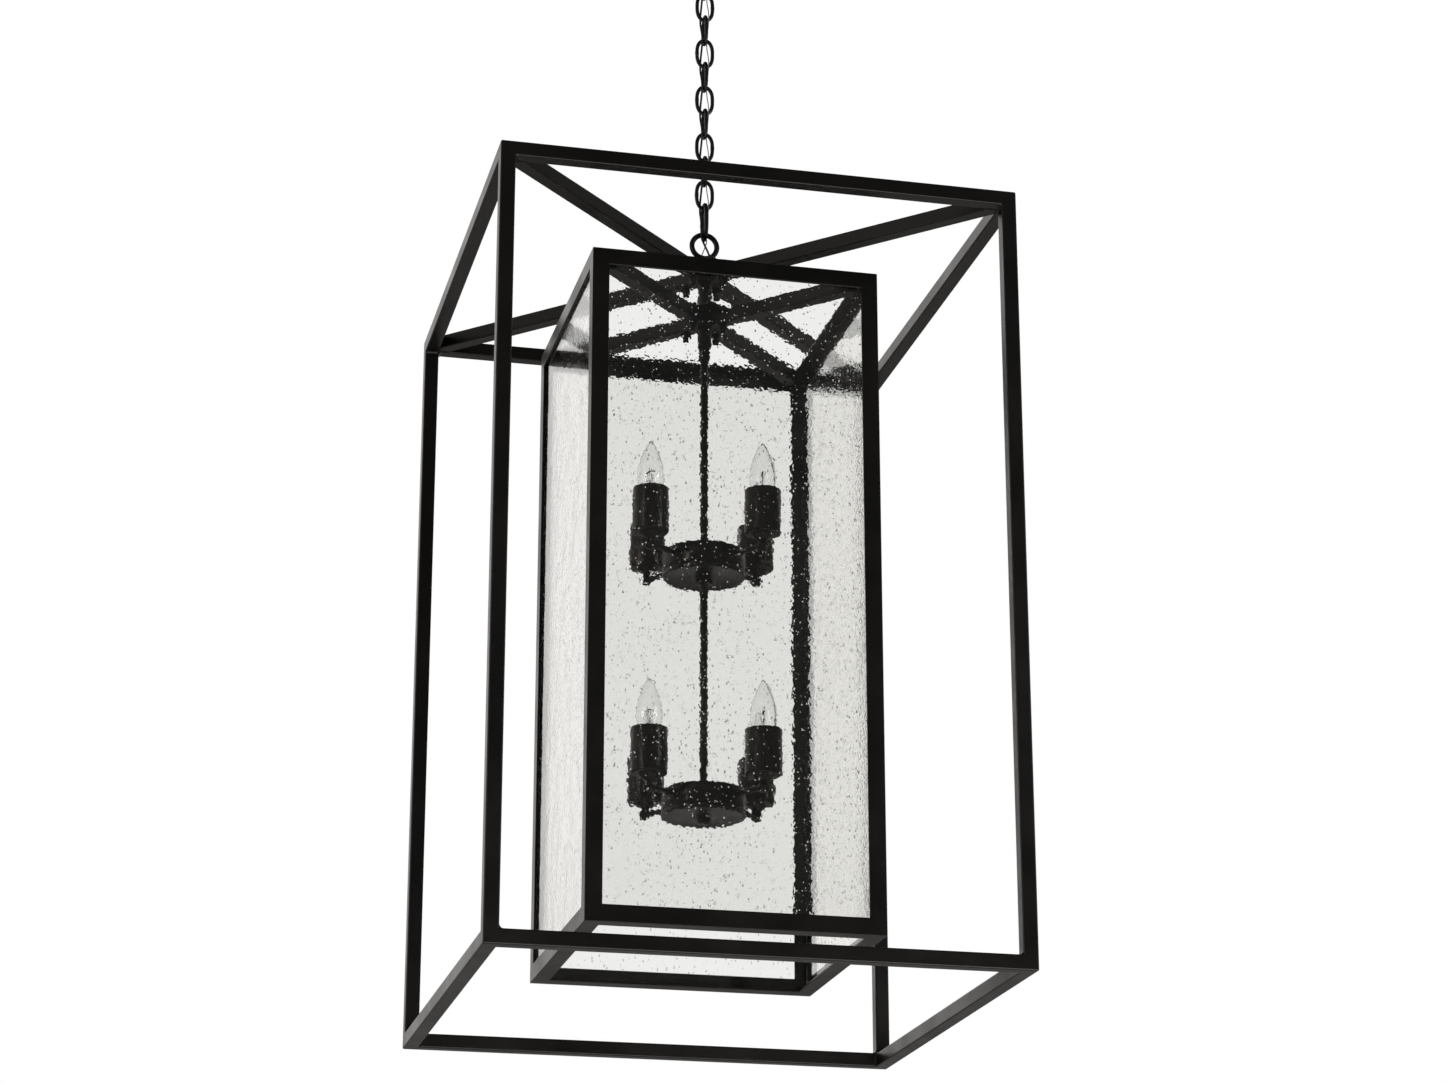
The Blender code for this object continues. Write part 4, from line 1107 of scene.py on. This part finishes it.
def make_canopy(finishes, links, ring):
    """The spun ceiling canopy, its strap and screws, and the screw collar with the ring for the chain."""
    node = "ceiling_canopy"
    half = width(node) / 2
    bottom, top = levels(node)
    wall = CANOPY_WALL
    hole = 11 * MM / 2
    shell = [(hole, bottom), (half - 14 * MM, bottom, 4 * MM), (half - 9 * MM, bottom + 3 * MM, 4 * MM)]
    shell += [(half - 2 * MM, bottom + 6 * MM, 5 * MM), (half, top - 3 * MM, 4 * MM), (half, top, 0.5 * MM)]
    back = []
    for r, z, _ in reversed(shell[1:-1]):
        upright = z > bottom + 4 * MM
        back.append((r - wall, z, 3 * MM) if upright else (r - wall / 2, z + wall, 3 * MM))
    shell += [(half - wall, top), *back, (hole, bottom + wall)]
    piece("canopy_shell", turned(shell, 96), finishes["steel"], "canopy", [node])

    node = "canopy_loop"
    across = 2 * high(node).y
    ring_low, collar_top = levels(node)
    collar_low = collar_top - CANOPY_COLLAR_HEIGHT
    mesh = wire_ring(links, across, CANOPY_LOOP_WIRE, ring_low + across / 2, finishes["steel"], math.pi / 2)
    piece("canopy_ring", mesh, None, "canopy")
    wide = high(node).x
    outline = [(0, collar_low), (wide - 2 * MM, collar_low, 2 * MM), (wide, collar_low + 3 * MM, MM)]
    for i in range(5):
        level = collar_low + (3.6 + 1.7 * i) * MM
        outline += [(wide, level), (wide - 0.5 * MM, level + 0.5 * MM), (wide, level + MM)]
    outline += [(wide, collar_top, 0.8 * MM), (0, collar_top)]
    piece("canopy_collar", turned(outline, 64), finishes["steel"], "canopy", [node])

    node = "mounting_strap"
    nipple_low, top = levels(node)
    bottom = top - STRAP_THICKNESS
    length = width(node) / 2
    across = high(node).y
    outline = [(-length, -across), (length, -across), (length, across), (-length, across)]
    strap = rounded_edges(prism(outline, bottom, top), 0.6 * MM)
    nipple = turned([(0, nipple_low), *threads(5 * MM, nipple_low, bottom + MM), (0, bottom + MM)], 32)
    nut = rounded_edges(rod(9 * MM, bottom - 4 * MM, bottom, 6), 0.5 * MM)
    piece("strap_bar", merged(strap, nipple, nut), finishes["zinc"], "canopy", [node])
    half = 4.5 * MM
    outline = [(0, bottom - 4 * MM), (3 * MM, bottom - 3.6 * MM, MM), (half, bottom - MM, MM)]
    head = turned([*outline, (half, bottom), (0, bottom)], 24)
    screws = grown(ring, placed(head, at(SCREW_RADIUS, 0, 0)), finishes["zinc"], Copies=2, First_Angle=0.0)
    piece("strap_screws", screws, None, "canopy")


def lead_route(lead, side, entry):
    """A lead's route down the chain. It passes beside the edge-on links and swings through the others."""
    away = side * (max(CONNECTOR_WIRE, LINK_WIRE) / 2 + lead / 2 + LEAD_GAP)
    swing = side * WEAVE
    pitch = (low(LINK_NAMES[0]).z - low(LINK_NAMES[-1]).z) / (LINKS - 1)
    first = middle(LINK_NAMES[-1]).z
    last = middle(LINK_NAMES[0]).z
    collar_low = high("canopy_loop").z - CANOPY_COLLAR_HEIGHT
    points = [(away, swing, low("ceiling_canopy").z + FIT), (away, swing, collar_low)]
    steps = 8 * ((LINKS + 1) // 2)
    for i in range(steps + 1):
        height = last + pitch / 2 - (last - first + 1.5 * pitch) * i / steps
        points.append((away, swing * math.sin(math.pi * (height - first) / pitch), height))
    collar_top = low("lantern_loop").z + COLLAR_HEIGHT
    points.append((away, swing, high("lantern_loop").z - LOOP_WIRE / 2))
    points.append((away, swing, low("connector_link").z + CONNECTOR_WIRE / 2 - 2 * MM))
    points.append((entry * 0.8 + away * 0.2, swing, collar_top + 7 * MM))
    points.append((entry, swing, collar_top))
    points.append((entry, swing, collar_top - ENTRY_DEPTH))
    return points


def make_lead(node, route, diameter, finish):
    """A lead in stretches from link to link, each cut at a link's middle so that it spans one joint. The
    stretches ride on no body.
    """
    line = smooth_line(route, LEAD_SPACING)
    rings, sides = tube(line, diameter / 2)
    bodies = ["canopy", *LINK_NAMES, "connector_link", "lantern"]
    centres = [middle(n).z for n in [*LINK_NAMES, "connector_link"]]
    cuts = [0]
    for centre in centres:
        cuts.append(min(range(len(line)), key=lambda i: abs(line[i].z - centre)))
    cuts.append(len(line) - 1)
    for i, (above, below) in enumerate(zip(bodies, bodies[1:])):
        mesh = wire_mesh(rings, sides, cuts[i], cuts[i + 1])
        made = piece("%s_%02d" % (node, i + 1), mesh, finish, None, [node])
        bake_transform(made)


def make_pane(node, finishes, seeds, draw):
    """A pane of seeded glass with eased edges, and the air seeds inside it."""
    start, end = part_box(node)
    corners = [(start.x, start.y), (end.x, start.y), (end.x, end.y), (start.x, end.y)]
    sheet = rounded_edges(prism(corners, start.z, end.z), PANE_EDGE, 2)
    piece(node + "_glass", sheet, finishes["glass"], stands_for=[node])
    centre = (start + end) / 2
    half = (end - start) / 2 - Vector((SEED_MARGIN, SEED_MARGIN, SEED_MARGIN))
    along = Vector((half.x, 0, 0)) if half.x > half.y else Vector((0, half.y, 0))
    up = Vector((0, 0, half.z))
    corners = [centre - along - up, centre + along - up, centre + along + up, centre - along + up]
    sizes = {"Seeds": float(SEEDS_PER_SQUARE_METRE), "Depth": SEED_DEPTH, "Draw": draw}
    mesh = grown(seeds, mesh_of(corners, [(0, 1, 2, 3)]), finishes["seed"], **sizes)
    piece(node + "_seeds", mesh, None)


# --- Studio ------------------------------------------------------------------------------------


def straight_look(tree):
    """1 for a ray that has met nothing but glass since it left the camera, and 0 for any other."""
    rays = add(tree, "ShaderNodeLightPath").outputs
    bounces = calculate(tree, "ADD", rays["Diffuse Depth"], rays["Glossy Depth"])
    unbounced = calculate(tree, "LESS_THAN", bounces, 0.5)
    direct = calculate(tree, "ADD", rays["Is Camera Ray"], rays["Is Transmission Ray"])
    return calculate(tree, "MULTIPLY", unbounced, calculate(tree, "MINIMUM", direct, 1.0))


def make_world():
    """A studio that looks white. What is in it reflects a room: dim in front, pale behind and at the left."""
    world = bpy.data.worlds.new("studio")
    bpy.context.scene.world = world
    world.use_nodes = True
    tree = world.node_tree
    light = tree.nodes["Background"]
    way = add(tree, "ShaderNodeSeparateXYZ", {0: add(tree, "ShaderNodeTexCoord").outputs["Generated"]})
    behind = spread(tree, way.outputs["Y"], ROOM_FRONT, 1.0, 0.25, 0.85)
    at_left = spread(tree, way.outputs["X"], 0.3, 0.0, -1.0, -0.35)
    room = calculate(tree, "ADD", behind, at_left)
    below = spread(tree, way.outputs["Z"], ROOM_BELOW, 1.0, -0.1, 0.25)
    above = spread(tree, way.outputs["Z"], 1.0, 0.35, 0.5, 0.9)
    room = calculate(tree, "MULTIPLY", room, calculate(tree, "MULTIPLY", below, above))
    looked_at = straight_look(tree)
    seen = add(tree, "ShaderNodeMix", {"Factor": looked_at, "A": room, "B": 1.0})
    tree.links.new(seen.outputs[0], light.inputs["Strength"])
    tint = two_colours(tree, looked_at, "fffdfb", "ffffff")
    tree.links.new(tint, light.inputs["Color"])


def make_floor():
    """A plain pale floor, far below the lantern. It isn't drawn from underneath."""
    half = FLOOR_WIDTH / 2
    corners = [(-half, -half, FLOOR), (half, -half, FLOOR), (half, half, FLOOR), (-half, half, FLOOR)]
    mesh = mesh_of(corners, [(0, 1, 2, 3)])
    made, tree, shader = new_material("pale_floor", Base_Color=colour("f2f2f0"), Roughness=0.8)
    pale = add(tree, "ShaderNodeEmission", {"Color": colour("f4f4f2"), "Strength": 1.0})
    lit = add(tree, "ShaderNodeMixShader", {0: straight_look(tree), 1: shader, 2: pale})
    facing = add(tree, "ShaderNodeNewGeometry").outputs["Backfacing"]
    clear = add(tree, "ShaderNodeBsdfTransparent")
    both = add(tree, "ShaderNodeMixShader", {0: facing, 1: lit, 2: clear})
    tree.links.new(both.outputs[0], tree.nodes["Material Output"].inputs["Surface"])
    mesh.materials.append(made)
    floor = bpy.data.objects.new("floor", mesh)
    bpy.context.scene.collection.objects.link(floor)


def make_soft_box(name, location, target, size, power, tint, seen_through_glass=True):
    """A large soft lamp that faces the target. The camera doesn't see it directly."""
    data = bpy.data.lights.new(name, "AREA")
    data.shape = "RECTANGLE"
    data.size = size[0]
    data.size_y = size[1]
    data.energy = power
    data.color = colour(tint)[:3]
    lamp = bpy.data.objects.new(name, data)
    bpy.context.scene.collection.objects.link(lamp)
    lamp.location = location
    lamp.rotation_euler = (Vector(target) - Vector(location)).to_track_quat("-Z", "Y").to_euler()
    lamp.visible_camera = False
    lamp.visible_transmission = seen_through_glass


def make_camera():
    """A long lens, below the lantern and a little to its left, looking up."""
    data = bpy.data.cameras.new("camera")
    data.sensor_width = 36
    data.lens = LENS
    data.shift_y = LENS_SHIFT
    camera = bpy.data.objects.new("camera", data)
    bpy.context.scene.collection.objects.link(camera)
    foot = Vector((0, 0, low("outer_lower_frame").z))
    camera.location = foot + Vector(CAMERA_FROM_FOOT)
    level = math.cos(CAMERA_RISE)
    ahead = Vector((-math.sin(CAMERA_TURN) * level, math.cos(CAMERA_TURN) * level, math.sin(CAMERA_RISE)))
    camera.rotation_euler = ahead.to_track_quat("-Z", "Y").to_euler()
    bpy.context.scene.camera = camera


def main():
    steel = powder_coat("satin_black_powder_coat", "070707", "100f0f", 0.25, 0.36)
    weld = weld_metal("coated_weld_bead")
    finishes = {
        "steel": steel,
        "chain": chain_black("black_enamelled_wire"),
        "glass": seeded_glass("seeded_soda_lime_glass"),
        "seed": seed_glass("air_seeds_in_glass"),
        "lamp": lamp_glass("clear_lamp_glass"),
        "nickel": plated("nickel_plated_brass", "b9b4a8", "d6d2c8", 0.2, 0.35),
        "brass": plated("drawn_brass", "a98545", "c9a765", 0.25, 0.4),
        "zinc": plated("zinc_plated_steel", "9a9ca0", "c3c6ca", 0.3, 0.45, (1, 6, 6)),
        "tungsten": plated("tungsten_wire", "4a4744", "6d6a66", 0.3, 0.45),
        "phenolic": phenolic("black_phenolic"),
    }
    ring = ring_tree()
    links = link_tree()
    welds = weld_tree()
    seeds = seed_tree()

    make_cages(steel, weld, welds)
    make_hub("outer", high("outer_top_frame").z - BRACE, steel, ring)
    make_hub("inner", high("inner_top_frame").z - BRACE, steel, ring)
    make_stem(steel)
    for place in CLUSTERS:
        make_cluster(place, finishes, ring)
    make_lamps(finishes)
    make_chain(finishes, links)
    make_lantern_loop(finishes, links, weld, welds)
    make_canopy(finishes, links, ring)
    black = vinyl("black_vinyl", "0b0b0b", "181716", 0.42)
    pale = vinyl("pale_vinyl", "9c9486", "bdb5a6", 0.38)
    make_lead("supply_lead", lead_route(SUPPLY_LEAD, -1, SUPPLY_ENTRY), SUPPLY_LEAD, black)
    make_lead("ground_lead", lead_route(GROUND_LEAD, 1, GROUND_ENTRY), GROUND_LEAD, pale)
    for draw, node in enumerate(("front_pane", "back_pane", "left_pane", "right_pane")):
        make_pane(node, finishes, seeds, draw + 1)
    make_world()
    make_floor()
    lantern = (0, 0, middle("front_pane").z)
    make_soft_box("low_table", (0.4, -1.3, FLOOR + 0.15), lantern, (3.0, 1.4), 40, "ffffff", False)
    make_soft_box("left_window", (-2.6, -1.6, lantern[2] + 0.5), lantern, (0.4, 1.4), 8, "fff8f0")
    make_soft_box("right_window", (2.4, -2.0, lantern[2] + 0.7), lantern, (0.3, 1.2), 10, "ffffff")
    make_camera()


main()
bpy.context.scene.view_settings.view_transform = "Standard"
